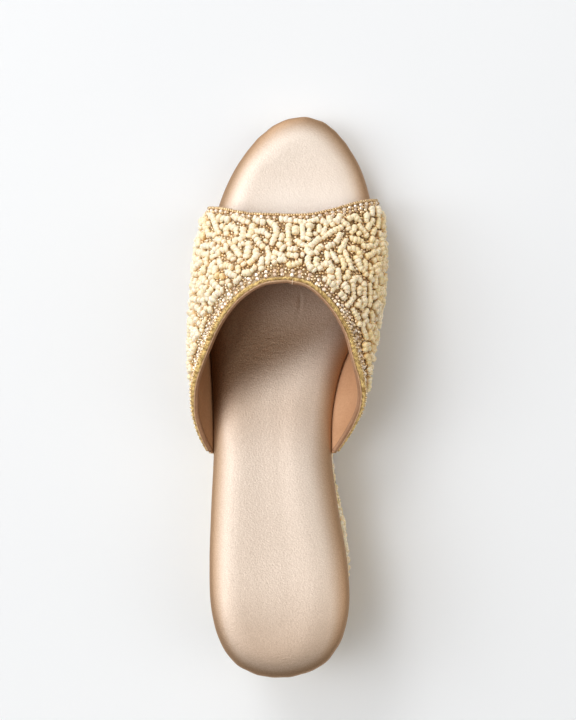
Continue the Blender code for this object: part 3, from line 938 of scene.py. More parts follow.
def build_upper():
    lining = lay_upper("upper_lining", MARGIN[2:], 0.0)
    cloth = lay_upper("upper_cloth", MARGIN, LINING_WALL)
    for piece, wall in ((lining, LINING_WALL), (cloth, UPPER_WALL - LINING_WALL)):
        fix(piece, "SOLIDIFY", thickness=wall * MM, offset=1.0, use_even_offset=True)
        settle(piece, 50)
    return lining, cloth


# ---------------------------------------------------------------- edges of the upper
EDGE_STEPS = 240
TRIM_PITCH = 1.1          # length of one step of a trim along its edge
CORD_PITCH = 0.42
CORD_STRANDS = 4
CORD_LAY = 3.0            # length in which the cord's strands go once round
JOIN_SIDES = 6
EDGE_BAND = 0.05
Station = namedtuple("Station", "place inward normal along")


class Edge:
    """The throat or toe edge as one line from the lateral seam to the medial seam."""

    def __init__(self, at_toe):
        share, near = (1.0, 0.96) if at_toe else (0.0, 0.04)
        self.spots = []
        for k in range(EDGE_STEPS + 1):
            side = -1 if k <= EDGE_STEPS / 2 else 1
            way_up = 1 - abs(k / EDGE_STEPS * 2 - 1)
            here = upper_point(side, way_up, share)
            self.spots.append((here, upper_point(side, way_up, near) - here))
        self.runs = [0.0]
        for (here, _), (there, _) in zip(self.spots, self.spots[1:]):
            self.runs.append(self.runs[-1] + (there - here).length / MM)
        self.length = self.runs[-1]
        self.sign = -1 if at_toe else 1

    def at(self, distance):
        """Place and directions at a distance along the edge, in millimetres."""
        distance = clamped(distance, 0.0, self.length)
        k = int(np.searchsorted(self.runs, distance)) or 1
        k = min(k, len(self.runs) - 1)
        part = (distance - self.runs[k - 1]) / (self.runs[k] - self.runs[k - 1])
        here = self.spots[k - 1][0].lerp(self.spots[k][0], part)
        near = self.spots[k - 1][1].lerp(self.spots[k][1], part)
        low = self.spots[max(k - 2, 0)][0]
        high = self.spots[min(k + 1, len(self.spots) - 1)][0]
        along = (high - low).normalized()
        normal = along.cross(near).normalized() * self.sign
        inward = (normal.cross(along) * self.sign).normalized()
        return Station(here, inward, normal, along)


def edge_spot(station, inward, height):
    return station.place + (station.inward * inward + station.normal * height) * MM


def edge_tree(edge, steps):
    """A hair-thin band along an edge, for distances to it."""
    rails = [edge_spot(edge.at(edge.length * k / steps), inward, UPPER_WALL)
             for k in range(steps + 1) for inward in (0, EDGE_BAND)]
    rungs = [(2 * k, 2 * k + 1, 2 * k + 3, 2 * k + 2) for k in range(steps)]
    return BVHTree.FromPolygons(rails, rungs)


def sweep(name, edge, start, end, step, section):
    """A closed strip along an edge; section(distance) lists (inward, height) points round it."""
    count = int((end - start) / step)
    sides = len(section(start))

    def spot(i, j):
        distance = start + (end - start) * clamped(i - 1, 0, count) / count
        station = edge.at(distance)
        loop = section(distance)
        if i == 0 or i == count + 2:
            middle = [sum(part) / len(loop) for part in zip(*loop)]
            return edge_spot(station, *middle)
        return edge_spot(station, *loop[j % sides])

    return lay_sheet(name, count + 2, sides, spot, (end - start, 2.0), closed=True)


def round_section(inward, height, radius, sides):
    turns = [2 * math.pi * k / sides for k in range(sides)]
    return [(inward + radius * math.cos(turn), height + radius * math.sin(turn)) for turn in turns]


def nose_section(out, wall, reach):
    """Rounded fold over the cut edge: in along the lining, round the nose, back on the outside."""
    return [(reach, 0.5), (reach, -0.12), (0.5, -0.18), (-0.1, -0.08), (-out * 0.7, 0.15),
            (-out, 0.45), (-out, wall - 0.95), (-out * 0.8, wall - 0.6), (-0.1, wall - 0.2),
            (0.6, wall + 0.04), (0.8, wall - 0.5)]


def build_throat_trim(edge):
    """Turned lining edge, cream piping and twisted zari cord round the throat."""
    start, end = 1.0, edge.length - 1.0
    middle = edge.length / 2

    def wing(d):
        """0 at the throat's middle, 1 on the wings."""
        return 1 - bell(d, middle, 34.0)

    def piping_section(d):
        return round_section(0.34 - 0.5 * wing(d), UPPER_WALL - 0.2 * wing(d), 0.27, 7)

    def strand_section(k):
        """Section of one strand: it winds round the cord's centre and swells in soft knobs."""
        def section(d):
            angle = 2 * math.pi * (d / CORD_LAY + k / CORD_STRANDS + 0.06 * math.sin(d * 1.3))
            crown = bell(d, middle, 14.0)
            knob = 0.4 - 0.06 * crown + 0.12 * wing(d)
            knob += 0.14 * math.sin(d * 4.9 + k * 1.7 + 1.1 * math.sin(d * 0.9))
            spread = 0.64 - 0.34 * crown + 0.06 * wing(d)
            spread += 0.12 * math.sin(d * 2.1 + 1.7 * math.sin(d * 0.37))
            inward = 1.6 - 0.3 * crown - 0.6 * wing(d)
            height = UPPER_WALL + 0.22 + 0.3 * wing(d)
            lift = 0.34 + 0.14 * wing(d)
            return round_section(inward + spread * math.cos(angle),
                                 height + lift * math.sin(angle), knob, 6)
        return section

    rim = sweep("throat_turned_edge", edge, start, end, TRIM_PITCH,
                lambda d: nose_section(0.4, UPPER_WALL, 1.1))
    piping = sweep("throat_piping", edge, start + 0.5, end - 0.5, TRIM_PITCH, piping_section)
    strands = [sweep(f"zari_strand_{k}", edge, start + 0.5, end - 0.5, CORD_PITCH, strand_section(k))
               for k in range(CORD_STRANDS)]
    deselect()
    for strand in strands:
        strand.select_set(True)
    bpy.context.view_layer.objects.active = strands[0]
    bpy.ops.object.join()
    return rim, piping, named("throat_zari_cord")


def build_toe_trim(edge):
    """Folded cloth edge along the toe opening."""
    return sweep("toe_folded_edge", edge, 0.8, edge.length - 0.8, TRIM_PITCH,
                 lambda d: nose_section(0.5, UPPER_WALL, 1.6))


def build_thread_join(edge):
    """Short pale stitch over the turned edge, where the binding's ends meet."""
    station = edge.at(edge.length / 2 + 4.6)
    path = [(1.0, UPPER_WALL + 0.35), (0.4, UPPER_WALL + 0.52), (-0.2, UPPER_WALL + 0.3),
            (-0.62, UPPER_WALL - 0.2), (-0.72, 0.9), (-0.62, 0.4), (-0.3, 0.05), (0.3, -0.2)]
    last = len(path) - 1

    def spot(i, j):
        k = clamped(i - 1, 0, last)
        centre = edge_spot(station, *path[k])
        if i == 0 or i == len(path) + 1:
            return centre
        ahead = edge_spot(station, *path[min(k + 1, last)])
        behind = edge_spot(station, *path[max(k - 1, 0)])
        other = (ahead - behind).normalized().cross(station.along).normalized()
        angle = 2 * math.pi * j / JOIN_SIDES
        return centre + (station.along * math.cos(angle) + other * math.sin(angle)) * 0.19 * MM

    return lay_sheet("thread_join", len(path) + 1, JOIN_SIDES, spot, (5.0, 1.0), closed=True)


# ---------------------------------------------------------------- bead patterns


def ease_ends(piece, ease, segments=1):
    """Bevel the rims of a drum's two flat ends."""
    bpy.context.tool_settings.mesh_select_mode = (False, False, True)
    bpy.ops.object.mode_set(mode="EDIT")
    bpy.ops.mesh.select_all(action="DESELECT")
    bpy.ops.object.mode_set(mode="OBJECT")
    for face in piece.data.polygons:
        face.select = abs(face.normal.z) > 0.9
    bpy.ops.object.mode_set(mode="EDIT")
    bpy.ops.mesh.bevel(offset=ease * MM, segments=segments, affect="EDGES")
    bpy.ops.object.mode_set(mode="OBJECT")


def eased_drum(name, sides, radius, length, ease, segments=1):
    """A short cylinder whose two rims are bevelled: a bead's or a crystal's pattern."""
    deselect()
    bpy.ops.mesh.primitive_cylinder_add(vertices=sides, radius=radius * MM, depth=length * MM)
    drum = named(name)
    ease_ends(drum, ease, segments)
    drum.hide_render = True
    return drum


def round_bead(name, sides, radius, length, ease, segments=1):
    """One bead: bevelled until it is puffy, and smooth."""
    bead = eased_drum(name, sides, radius, length, ease, segments)
    bpy.ops.object.shade_smooth()
    return bead


def make_sewing():
    """Geometry nodes that put a copy of the pattern bead on every point, turned and sized."""
    tree = bpy.data.node_groups.new("sew_beads", "GeometryNodeTree")
    for name, way, kind in (("Geometry", "INPUT", "Geometry"), ("Pattern", "INPUT", "Object"),
                            ("Geometry", "OUTPUT", "Geometry")):
        tree.interface.new_socket(name=name, in_out=way, socket_type="NodeSocket" + kind)
    bench = Bench(tree)
    start = bench.add("NodeGroupInput").outputs
    end = bench.add("NodeGroupOutput")
    pattern = bench.add("GeometryNodeObjectInfo", {"Object": start["Pattern"]})
    facing, size = (bench.add("GeometryNodeInputNamedAttribute", {"Name": name},
                              data_type="FLOAT_VECTOR") for name in ("facing", "size"))
    turn = bench.add("FunctionNodeEulerToRotation", {"Euler": facing.outputs["Attribute"]})
    copies = bench.add("GeometryNodeInstanceOnPoints", {
        "Points": start["Geometry"], "Instance": pattern.outputs["Geometry"],
        "Rotation": turn.outputs["Rotation"], "Scale": size.outputs["Attribute"]})
    joined = bench.add("GeometryNodeRealizeInstances", {"Geometry": copies.outputs["Instances"]})
    bench.feed(end.inputs["Geometry"], joined.outputs["Geometry"])
    return tree


Bead = namedtuple("Bead", "place facing size tone")
SEWING = make_sewing()
BEAD_TOP = 2.7            # usual height of an ivory bead's top above the cloth


def sew(name, beads, pattern, finish, slot, ground):
    """Sew a list of beads down as one joined piece, marked with its height off the cloth."""
    mesh = bpy.data.meshes.new(name)
    mesh.from_pydata([bead.place for bead in beads], [], [])
    piece = bpy.data.objects.new(name, mesh)
    for key, kind, field in (("facing", "FLOAT_VECTOR", "vector"), ("size", "FLOAT_VECTOR", "vector"),
                             ("tone", "FLOAT", "value")):
        values = np.array([getattr(bead, key) for bead in beads], np.float32).ravel()
        mark(piece, key, values, kind, field)
    bpy.context.scene.collection.objects.link(piece)
    only(piece)
    tool = piece.modifiers.new("sewing", "NODES")
    tool.node_group = SEWING
    tool["Socket_1"] = pattern
    bpy.ops.object.modifier_apply(modifier=tool.name)
    for spare in ("facing", "size"):
        if spare in piece.data.attributes:
            piece.data.attributes.remove(piece.data.attributes[spare])
    # the ivory finish paints warm shade low down from this height
    mark(piece, "height", [min(ground.tree.find_nearest(corner.co)[3] / MM / BEAD_TOP, 1.0)
                           for corner in piece.data.vertices])
    return finish_piece(piece, finish, slot)


class Ground:
    """Cloth that beads are sewn to: nearest place and normal, and random spots even by area."""

    def __init__(self, points, faces, allowed):
        self.points = points
        self.faces = faces
        self.tree = BVHTree.FromPolygons(points, faces)
        self.allowed = allowed
        areas = []
        for face in faces:
            a, b, c, d = (points[i] for i in face)
            areas.append(((b - a).cross(c - a).length + (c - a).cross(d - a).length) / 2)
        self.reach = np.cumsum(areas)

    def tries(self, per_area):
        """How many tries a number of tries per square centimetre comes to."""
        return int(per_area * (self.reach[-1] / MM / MM) / 100)

    def nearest(self, spot):
        return self.tree.find_nearest(spot)[:2]

    def random_spot(self, dice):
        face = self.faces[int(np.searchsorted(self.reach, dice.random() * self.reach[-1]))]
        a, b, c, d = (self.points[i] for i in face)
        s, t = dice.random(), dice.random()
        return a.lerp(b, s).lerp(d.lerp(c, s), t)


class Crowd:
    """Beads placed so far, kept in small cells so that near neighbours are found quickly."""

    CELL = 3.2 * MM

    def __init__(self):
        self.cells = {}

    def cell(self, spot):
        return tuple(int(part // self.CELL) for part in spot)

    def add(self, spot, kind, strand=None):
        self.cells.setdefault(self.cell(spot), []).append((spot, kind, strand))

    def clear(self, spot, room, strand=-1):
        """True if no other bead is nearer than room[kind] millimetres."""
        spans = [(part - 1, part, part + 1) for part in self.cell(spot)]
        for cell in product(*spans):
            for other, kind, owner in self.cells.get(cell, ()):
                if owner != strand and (other - spot).length < room[kind] * MM:
                    return False
        return True


IVORY_PITCH = 1.66
STOUTER = 1.08            # listed strands swell this much past their drawn width
GOLD_TRIES = 1400         # per square centimetre
IVORY_ROOM = {"ivory": 2.6, "edge": 1.9}
GOLD_ROOM = {"ivory": 1.6, "gold": 1.2, "edge": 1.25}
LOOP_RISE = 0.45          # a strand's middle stands this far above its ends
LEAN = 0.44               # most that a bead tilts off its strand
FULL_TURN = 6.28
STRAND_TONE = (0.62, 0.17)              # from here on, the mean and spread of a chance
STRAND_STOUT = (1.02, 0.09)
STRAND_BEND = (0.0, 0.16)
BEAD_WIDTH = (1.0, 0.1)
BEAD_LENGTH = (1.0, 0.13)
BEAD_TONE = (0.0, 0.09)
GOLD_SIZE = (1.0, 0.1)
CRYSTAL_SIZE = (1.0, 0.05)
CRYSTAL_TONE = (0.6, 0.25)
Run = namedtuple("Run", "count shortest tries")              # beads, fewest kept, tries per cm2
STRAND_PLAN = (Run(4, 4, 60), Run(4, 3, 160), Run(3, 2, 320), Run(2, 2, 240), Run(1, 1, 120))


def facing_of(direction, dice):
    """Turn of a bead whose hole lies along a direction, at a random spin."""
    spin = Quaternion((0, 0, 1), dice.uniform(0, FULL_TURN))
    return tuple((direction.to_track_quat("Z", "Y") @ spin).to_euler())


def along_cloth(heading, normal):
    """The part of a heading that lies in the cloth."""
    return (heading - normal * heading.dot(normal)).normalized()


def scatter(dice, reach):
    """A small random shift, up to reach each way."""
    return Vector([dice.uniform(-reach, reach) for _ in range(3)])


def any_heading(dice):
    return Vector([dice.gauss(0, 1) for _ in range(3)])


def try_strand(ground, crowd, start, heading, count, bend, strand):
    """Walk a strand over the cloth, one bead a step; stops early where there is no room."""
    steps = []
    spot, normal = ground.nearest(start)
    heading = along_cloth(heading, normal)
    for _ in range(count):
        found = None
        for swing in (0.0, 0.5, -0.5):
            turned = Quaternion(normal, bend + swing) @ heading
            there, up = ground.nearest(spot + turned * IVORY_PITCH * MM) if steps else (spot, normal)
            if ground.allowed(there, "ivory") and crowd.clear(there, IVORY_ROOM, strand):
                found = (there, up, turned)
                break
        if not found:
            break
        spot, normal, heading = found
        heading = along_cloth(heading, normal)
        steps.append((spot, normal, heading))
    return steps


def strand_beads(steps, dice, stout=None, tone=None):
    """Beads of one strand, lifted in the middle like a stitched loop."""
    if tone is None:
        tone = clamped(dice.gauss(*STRAND_TONE), 0.08)
    lift = dice.uniform(0.0, 0.5)
    if stout is None:
        stout = dice.gauss(*STRAND_STOUT)
    beads = []
    for k, (spot, normal, heading) in enumerate(steps):
        share = (k + 0.5) / len(steps)
        rise = 0.85 * stout + lift + LOOP_RISE * math.sin(math.pi * share) + dice.uniform(-0.12, 0.12)
        slimmer = 1.0 - 0.08 * (abs(share - 0.5) > 0.38)
        wide = stout * slimmer * dice.gauss(*BEAD_WIDTH)
        lean = (heading + normal * (0.5 - share) * 0.5 + scatter(dice, LEAN)).normalized()
        aside = normal.cross(heading) * dice.uniform(-0.26, 0.26)
        facing = facing_of(lean, dice)
        size = (wide, wide * dice.uniform(0.84, 1.12), dice.gauss(*BEAD_LENGTH))
        # painted warm bounce light and shade: beads towards the inner side get a yellower, darker
        # tone
        inner_bounce = 0.24 * crossing(12.0, 34.0)(spot.x / MM)
        beads.append(Bead(spot + (normal * rise + aside) * MM, facing, size,
                          clamped(tone - inner_bounce + dice.gauss(*BEAD_TONE))))
    return beads


def stitch_strand(ground, crowd, dice, strand, stout, tone, *bends):
    """One listed strand, dropped on the cloth from above along its bends."""
    runs = [math.dist(a, b) for a, b in zip(bends, bends[1:])]
    count = max(round(sum(runs) / (IVORY_PITCH * stout)), 1)
    steps = []
    for k in range(count + 1):
        ahead = sum(runs) * k / count
        leg = 0
        while leg < len(runs) - 1 and ahead > runs[leg]:
            ahead -= runs[leg]
            leg += 1
        share = ahead / runs[leg]
        plan = Vector([a + (b - a) * share for a, b in zip(bends[leg], bends[leg + 1])])
        spot, normal = ground.tree.ray_cast(place(plan, 300.0), Vector((0, 0, -1)))[:2]
        if spot is None:
            spot, normal = ground.nearest(place(plan, 30.0))
        steps.append((spot, normal))
    beads = []
    for k, (spot, normal) in enumerate(steps):
        run = steps[min(k + 1, count)][0] - steps[max(k - 1, 0)][0]
        beads.append((spot, normal, run.normalized()))
        crowd.add(spot, "ivory", strand)
    return strand_beads(beads, dice, stout * STOUTER, tone)


def grow_strands(ground, crowd, dice, first_strand=0):
    """Fill the cloth with strands, the longest first."""
    beads = []
    strand = first_strand
    for run in STRAND_PLAN:
        for _ in range(ground.tries(run.tries)):
            start = ground.random_spot(dice)
            if not ground.allowed(start, "ivory") or not crowd.clear(start, IVORY_ROOM):
                continue
            strand += 1
            heading = any_heading(dice)
            bend = dice.gauss(*STRAND_BEND)
            steps = try_strand(ground, crowd, start, heading, run.count, bend, strand)
            if len(steps) < run.shortest:
                continue
            for spot, _, _ in steps:
                crowd.add(spot, "ivory", strand)
            beads += strand_beads(steps, dice)
    return beads


def fill_gold(ground, crowd, dice):
    """Scatter gold beads into the gaps that the strands leave."""
    beads = []
    for _ in range(ground.tries(GOLD_TRIES)):
        spot = ground.random_spot(dice)
        if not ground.allowed(spot, "gold") or not crowd.clear(spot, GOLD_ROOM):
            continue
        there, normal = ground.nearest(spot)
        crowd.add(there, "gold")
        heading = any_heading(dice)
        heading = (heading - normal * heading.dot(normal) * 0.7).normalized()
        size = dice.gauss(*GOLD_SIZE)
        # painted light: beads towards the outer side are paler, where the light falls
        outer_side_light = 0.25 * (1 - crossing(-26.0, -6.0)(spot.x / MM))
        tone = min(dice.random() ** 1.15 + outer_side_light, 1.0)
        rise = dice.uniform(0.35, 0.75)
        beads.append(Bead(there + normal * rise * MM, facing_of(heading, dice),
                          (size, size, size), tone))
    return beads


Row = namedtuple("Row", "edge start end inward pitch height")  # start and end: shares of the edge


def sew_row(row, ground, crowd, dice, size):
    """A row of crystals or seeds beside an edge, each facing out from the cloth."""
    beads = []
    count = max(int((row.end - row.start) * row.edge.length / row.pitch), 1)
    for k in range(count + 1):
        share = row.start + (row.end - row.start) * k / count
        station = row.edge.at(share * row.edge.length + dice.uniform(-0.1, 0.1))
        spot = edge_spot(station, row.inward + dice.uniform(-0.08, 0.08), UPPER_WALL)
        there, normal = ground.nearest(spot)
        crowd.add(there, "edge")
        tilt = (normal + scatter(dice, 0.16)).normalized()
        wide = size * dice.gauss(*CRYSTAL_SIZE)
        beads.append(Bead(there + normal * row.height * MM, facing_of(tilt, dice),
                          (wide, wide, wide), clamped(dice.gauss(*CRYSTAL_TONE))))
    return beads


# ---------------------------------------------------------------- put together: sole, wedge, footbed
finish_piece(build_outsole(), SOLE, "sole_rubber", "outsole")
finish_piece(build_wedge_cover(), GROUND, "beaded_cloth", "wedge")
footbed_cover = finish_piece(build_footbed(), CHAMPAGNE, "metallic_leather", "footbed")

# ---------------------------------------------------------------- put together: upper and trims
lining, cloth = build_upper()
finish_piece(lining, LINING, "lining_leather")
finish_piece(cloth, GROUND, "beaded_cloth", "upper")
THROAT = Edge(at_toe=False)
TOE = Edge(at_toe=True)
rim, piping, zari_cord = build_throat_trim(THROAT)
finish_piece(rim, TURNED_EDGE, "lining_leather")
finish_piece(piping, PIPING, "gold_cord")
finish_piece(zari_cord, ZARI, "gold_cord", "throat_cord")
finish_piece(build_toe_trim(TOE), BROWN_FOLD, "beaded_cloth")
finish_piece(build_thread_join(THROAT), PALE_THREAD, "gold_cord")

# ---------------------------------------------------------------- put together: beads of the vamp
THROAT_TREE = edge_tree(THROAT, 300)
TOE_TREE = edge_tree(TOE, 200)
TOE_BAND = 3.2 * MM       # brown band of darker seed beads along the toe edge
SEAM_ROOM = 1.6           # no bead lies lower than this beside the footbed
WING_TIP = 116.0          # the inner wing is too narrow for strands behind this station
GOLD_OFF_THROAT, GOLD_OFF_TOE = 2.75, 1.1
STRAND_OFF_THROAT, STRAND_OFF_TOE = 4.6, 3.3


def upper_allows(spot, kind):
    """Keeps strands off the trims, and off the narrow ends of the medial wing."""
    x = spot.x / MM
    station = station_at(spot)
    from_throat, from_toe = (tree.find_nearest(spot)[3] / MM for tree in (THROAT_TREE, TOE_TREE))
    if spot.z / MM - underside(station) < SEAM_ROOM:
        return False
    if kind == "gold":
        return from_throat > GOLD_OFF_THROAT and from_toe > GOLD_OFF_TOE
    medial_corner = crossing(18.0, 30.0)(x)
    apex = 1 - crossing(12.0, 30.0)(abs(x))
    return (from_throat > STRAND_OFF_THROAT + 1.6 * apex + 0.6 * (x > 0)
            and from_toe > STRAND_OFF_TOE + 2.4 * medial_corner
            and not (x > 0 and station < WING_TIP))


outer = lay_upper("outer_face", MARGIN[2:], UPPER_WALL)
upper_ground = Ground([corner.co.copy() for corner in outer.data.vertices],
                      [tuple(face.vertices) for face in outer.data.polygons], upper_allows)
bpy.data.objects.remove(outer)
crowd = Crowd()
dice = random.Random(41)

CRYSTAL_ROWS = (
    Row(THROAT, 0.012, 0.36, 3.3, 2.5, 0.42), Row(THROAT, 0.37, 0.62, 3.0, 3.1, 0.42),
    Row(THROAT, 0.14, 0.36, 4.8, 2.9, 0.42), Row(THROAT, 0.372, 0.618, 5.0, 3.1, 0.42),
    Row(THROAT, 0.63, 0.988, 3.2, 2.65, 0.42), Row(THROAT, 0.637, 0.86, 4.7, 2.8, 0.42),
    Row(TOE, 0.03, 0.97, 1.6, 2.7, 0.42), Row(TOE, 0.66, 0.96, 3.2, 2.5, 0.42),
)
SEED_ROWS = (
    Row(TOE, 0.02, 0.98, 0.3, 1.12, 0.35), Row(THROAT, 0.01, 0.35, 2.15, 1.4, 0.9),
    Row(THROAT, 0.65, 0.99, 2.15, 1.4, 0.9), Row(THROAT, 0.012, 0.17, 1.5, 1.8, 1.5),
    Row(THROAT, 0.83, 0.988, 1.5, 1.8, 1.5),
)
# strands listed one by one, seen from above: stoutness, tone, then the (x, station) of each bend
FORE_STRANDS = (          # the outer half of the vamp
    (0.98, 0.7, (1.3, 194), (1.6, 186)), (0.98, 0.75, (7, 194.3), (7.6, 188.6)),
    (1.0, 0.7, (10.3, 193.8), (9.9, 188.2)), (0.9, 0.8, (4.5, 196.2), (8, 196)),
    (0.95, 0.7, (-1.5, 196.8), (2, 196.4)), (0.95, 0.8, (-13, 197), (-9.8, 195.8)),
    (0.95, 0.8, (-6.8, 196.4), (-4.6, 194.2), (-3.6, 191.6), (-4.2, 189.2), (-5.2, 186.4)),
    (0.95, 0.8, (-12, 191.8), (-8.4, 191.6), (-7.4, 189.6)),
    (1.0, 0.7, (-12.5, 189.3), (-11.4, 186.5), (-9.2, 185)),
    (1.05, 0.8, (-15.3, 186.2), (-15.8, 180.6)),
    (1.05, 0.7, (-12.2, 182.8), (-11.6, 180.3), (-14.6, 177.8)),
    (0.9, 0.8, (-7.5, 184), (-6.4, 181), (-7, 177.8)), (1.12, 0.8, (-2.1, 185.2), (-0.9, 183.6)),
    (0.9, 0.8, (-4.2, 182), (-0.5, 180.3)), (0.85, 0.8, (-4.2, 179.6), (-4.1, 177.6)),
    (0.8, 0.8, (-1.8, 178.7), (0.2, 178.6)), (0.85, 0.7, (1.9, 183.6), (4.3, 183.7)),
    (0.9, 0.7, (1.9, 181), (4.6, 180.3)), (0.85, 0.7, (5.3, 187.5), (6.7, 186), (8.9, 185.3)),
    (1.0, 0.8, (9.2, 183.5), (10.8, 181.4)), (1.0, 0.8, (9.6, 179.2), (9.8, 176.4), (12.2, 174.3)),
    (0.9, 0.7, (14, 188.3), (10.8, 185.4)), (0.95, 0.7, (15, 184.9), (13.2, 182.2)),
    (0.9, 0.7, (-33.6, 200.6), (-31.6, 198.8), (-29.7, 194.4), (-28.8, 192)),
    (1.1, 0.75, (-28.4, 198.4), (-24.9, 197.4)), (0.95, 0.85, (-22.3, 198.6), (-16.2, 195.8)),
    (0.95, 0.7, (-25.5, 191.3), (-25, 193.8), (-22.8, 194.6), (-21.3, 193), (-21, 191.3)),
    (0.95, 0.7, (-18, 192.6), (-17.6, 190.2), (-18.4, 188.4), (-20.8, 188.2)),
    (0.95, 0.7, (-29.2, 188.8), (-26.2, 187.6)), (1.0, 0.6, (-24.9, 185.6), (-21.5, 187.7)),
    (1.05, 0.65, (-28, 183), (-25, 184.2)), (0.95, 0.7, (-33, 191.2), (-30.4, 190.6)),
    (1.0, 0.6, (-35, 195.2), (-33.6, 192.6)), (1.0, 0.7, (-36, 198.6), (-36.8, 195)),
    (1.0, 0.7, (-37, 192), (-37.4, 187.6)), (0.95, 0.8, (-35.4, 186.3), (-31, 186.2)),
    (0.95, 0.7, (-37.2, 183.7), (-33.2, 182.2)), (0.85, 0.7, (-31, 180.9), (-28.6, 182.3)),
    (1.0, 0.75, (-23.6, 181.8), (-21.6, 179.3)), (0.95, 0.75, (-20.3, 183.2), (-19, 181)),
    (1.0, 0.7, (-27.5, 179), (-26.6, 176.4)), (0.9, 0.5, (-24.6, 177), (-22.2, 176)),
    (1.0, 0.8, (-36, 179.2), (-38.5, 177.4)), (0.85, 0.6, (-33.8, 180), (-33.5, 178)),
    (0.95, 0.8, (-32.3, 173.6), (-31, 176), (-30, 178.8)), (0.9, 0.6, (-39, 174.4), (-36, 174)),
    (1.0, 0.85, (-23.2, 173.8), (-20.8, 172.4)), (1.0, 0.1, (-28, 172.6), (-25.9, 172.4)),
    (1.1, 0.8, (-30.3, 171.8), (-29.5, 169.4), (-27.4, 167.6)),
    (1.0, 0.8, (-38.2, 171.6), (-38.6, 167.4)), (1.0, 0.8, (-35.6, 169), (-33.2, 167.6)),
    (0.9, 0.7, (-23.6, 170), (-22.4, 168.6)), (0.9, 0.7, (-18.6, 178.6), (-17.2, 177.2)),
    (1.1, 0.85, (-25.8, 166.4), (-28.5, 164.6), (-30.6, 161.6)),
    (1.05, 0.8, (-39, 163.6), (-34, 162.4)), (1.1, 0.8, (-38.4, 160.4), (-34, 157.2)),
    (1.0, 0.8, (-39.7, 157), (-37.5, 154.5), (-36.2, 153)), (0.85, 0.6, (-33.8, 161), (-32.7, 159.2)),
    (1.0, 0.85, (-39.6, 150.6), (-38, 146.2)), (0.9, 0.8, (-40, 146), (-39.4, 143)),
    (0.9, 0.8, (-40, 141), (-40, 138)),
)
INNER_STRANDS = (         # its inner half
    (0.8, 0.7, (17.2, 194.6), (15.8, 190.8)), (0.8, 0.6, (14.3, 194), (14.6, 192)),
    (0.85, 0.7, (16, 188.8), (19, 191.2), (21.5, 192.8), (23.3, 193.6)),
    (0.85, 0.8, (10, 196.4), (13.3, 196.7)), (0.85, 0.8, (15.6, 196.3), (17.7, 195.8)),
    (0.85, 0.85, (18.5, 197.6), (19.6, 194.9)), (1.0, 0.85, (22.7, 198.8), (21.4, 196)),
    (0.9, 0.7, (24, 196.4), (25, 195.3)), (0.85, 0.6, (26.8, 197.7), (28.8, 198.8), (30.8, 197)),
    (0.8, 0.65, (26, 195), (26.3, 193.2)), (0.85, 0.6, (28.8, 194), (27.9, 191.6)),
    (0.9, 0.7, (31, 194.8), (33.8, 190.8)), (0.9, 0.8, (33.8, 199.6), (33.9, 197.3)),
    (0.9, 0.7, (36.4, 197.5), (34.3, 194)), (0.95, 0.9, (35.8, 202.8), (36.2, 200.4)),
    (0.85, 0.8, (38.4, 203), (38.6, 200)), (0.85, 0.5, (38.8, 198), (38.4, 195)),
    (0.8, 0.5, (37, 193.5), (36.2, 191.6)), (1.0, 0.8, (22.8, 190), (21.6, 187.3)),
    (0.95, 0.6, (27.8, 188.9), (31.8, 187.8)), (0.78, 0.7, (25.2, 187.6), (22.8, 183)),
    (0.9, 0.8, (19.8, 186), (17.6, 184.7)), (0.8, 0.7, (19.6, 181.8), (21.6, 178.7)),
    (0.8, 0.7, (17.5, 181.7), (18, 179.4)), (0.88, 0.75, (25, 182.8), (27.4, 175.8)),
    (0.9, 0.55, (26.8, 184.6), (29.8, 184.1), (31.6, 181.3)),
    (0.9, 0.7, (29.6, 180.2), (30.6, 177.5)), (0.9, 0.7, (32.6, 185.8), (35.4, 186.2)),
    (0.85, 0.6, (37.8, 188), (36.6, 186)), (0.85, 0.6, (33.2, 178.7), (33.4, 176.4)),
    (0.85, 0.6, (31.4, 175.9), (33.4, 173.8)), (0.85, 0.5, (35.2, 177.5), (35.7, 174.6)),
    (0.85, 0.5, (36.8, 180), (38.6, 181.4), (39.2, 179)),
    (0.9, 0.75, (15.9, 177), (18.2, 177.6), (20.2, 175.4)), (1.0, 0.8, (18.8, 174.2), (19.2, 172)),
    (0.9, 0.8, (22, 174.6), (22.5, 171.8)), (0.95, 0.8, (16.7, 170.8), (19.6, 168.8)),
    (0.85, 0.8, (20.6, 167), (22.8, 170.6)),
    (0.9, 0.75, (28.6, 165.4), (27.9, 170.6), (29.8, 172.3), (31, 171)),
    (1.05, 0.8, (24.7, 169), (25.7, 166.2)), (0.9, 0.8, (28.6, 163.6), (25.9, 160.6)),
    (1.0, 0.8, (32.5, 169.4), (32.8, 165.6)), (0.85, 0.5, (35.2, 169.2), (35.3, 165.6)),
    (1.0, 0.75, (32.6, 164), (32.8, 161.3)), (0.85, 0.5, (34.9, 164), (34.6, 161)),
    (0.9, 0.7, (31.8, 159.5), (33.6, 158.3)), (0.85, 0.7, (28.2, 158.6), (30.2, 155.4)),
    (1.0, 0.9, (32.6, 156.5), (33.4, 154.2)), (0.85, 0.5, (35.5, 157.6), (35.8, 155)),
    (1.0, 0.8, (30.6, 152.7), (32, 152.3)), (0.85, 0.6, (32.4, 150.3), (33.6, 146.8)),
    (0.85, 0.5, (35.8, 153.5), (35.6, 150.8)), (0.85, 0.5, (38, 168.4), (38, 164.8)),
    (0.95, 0.6, (34.3, 144.2), (34.2, 142.3)), (0.85, 0.5, (37.4, 172.8), (37.2, 168.6)),
)


def darker(bead, share):
    return bead._replace(tone=bead.tone * share)


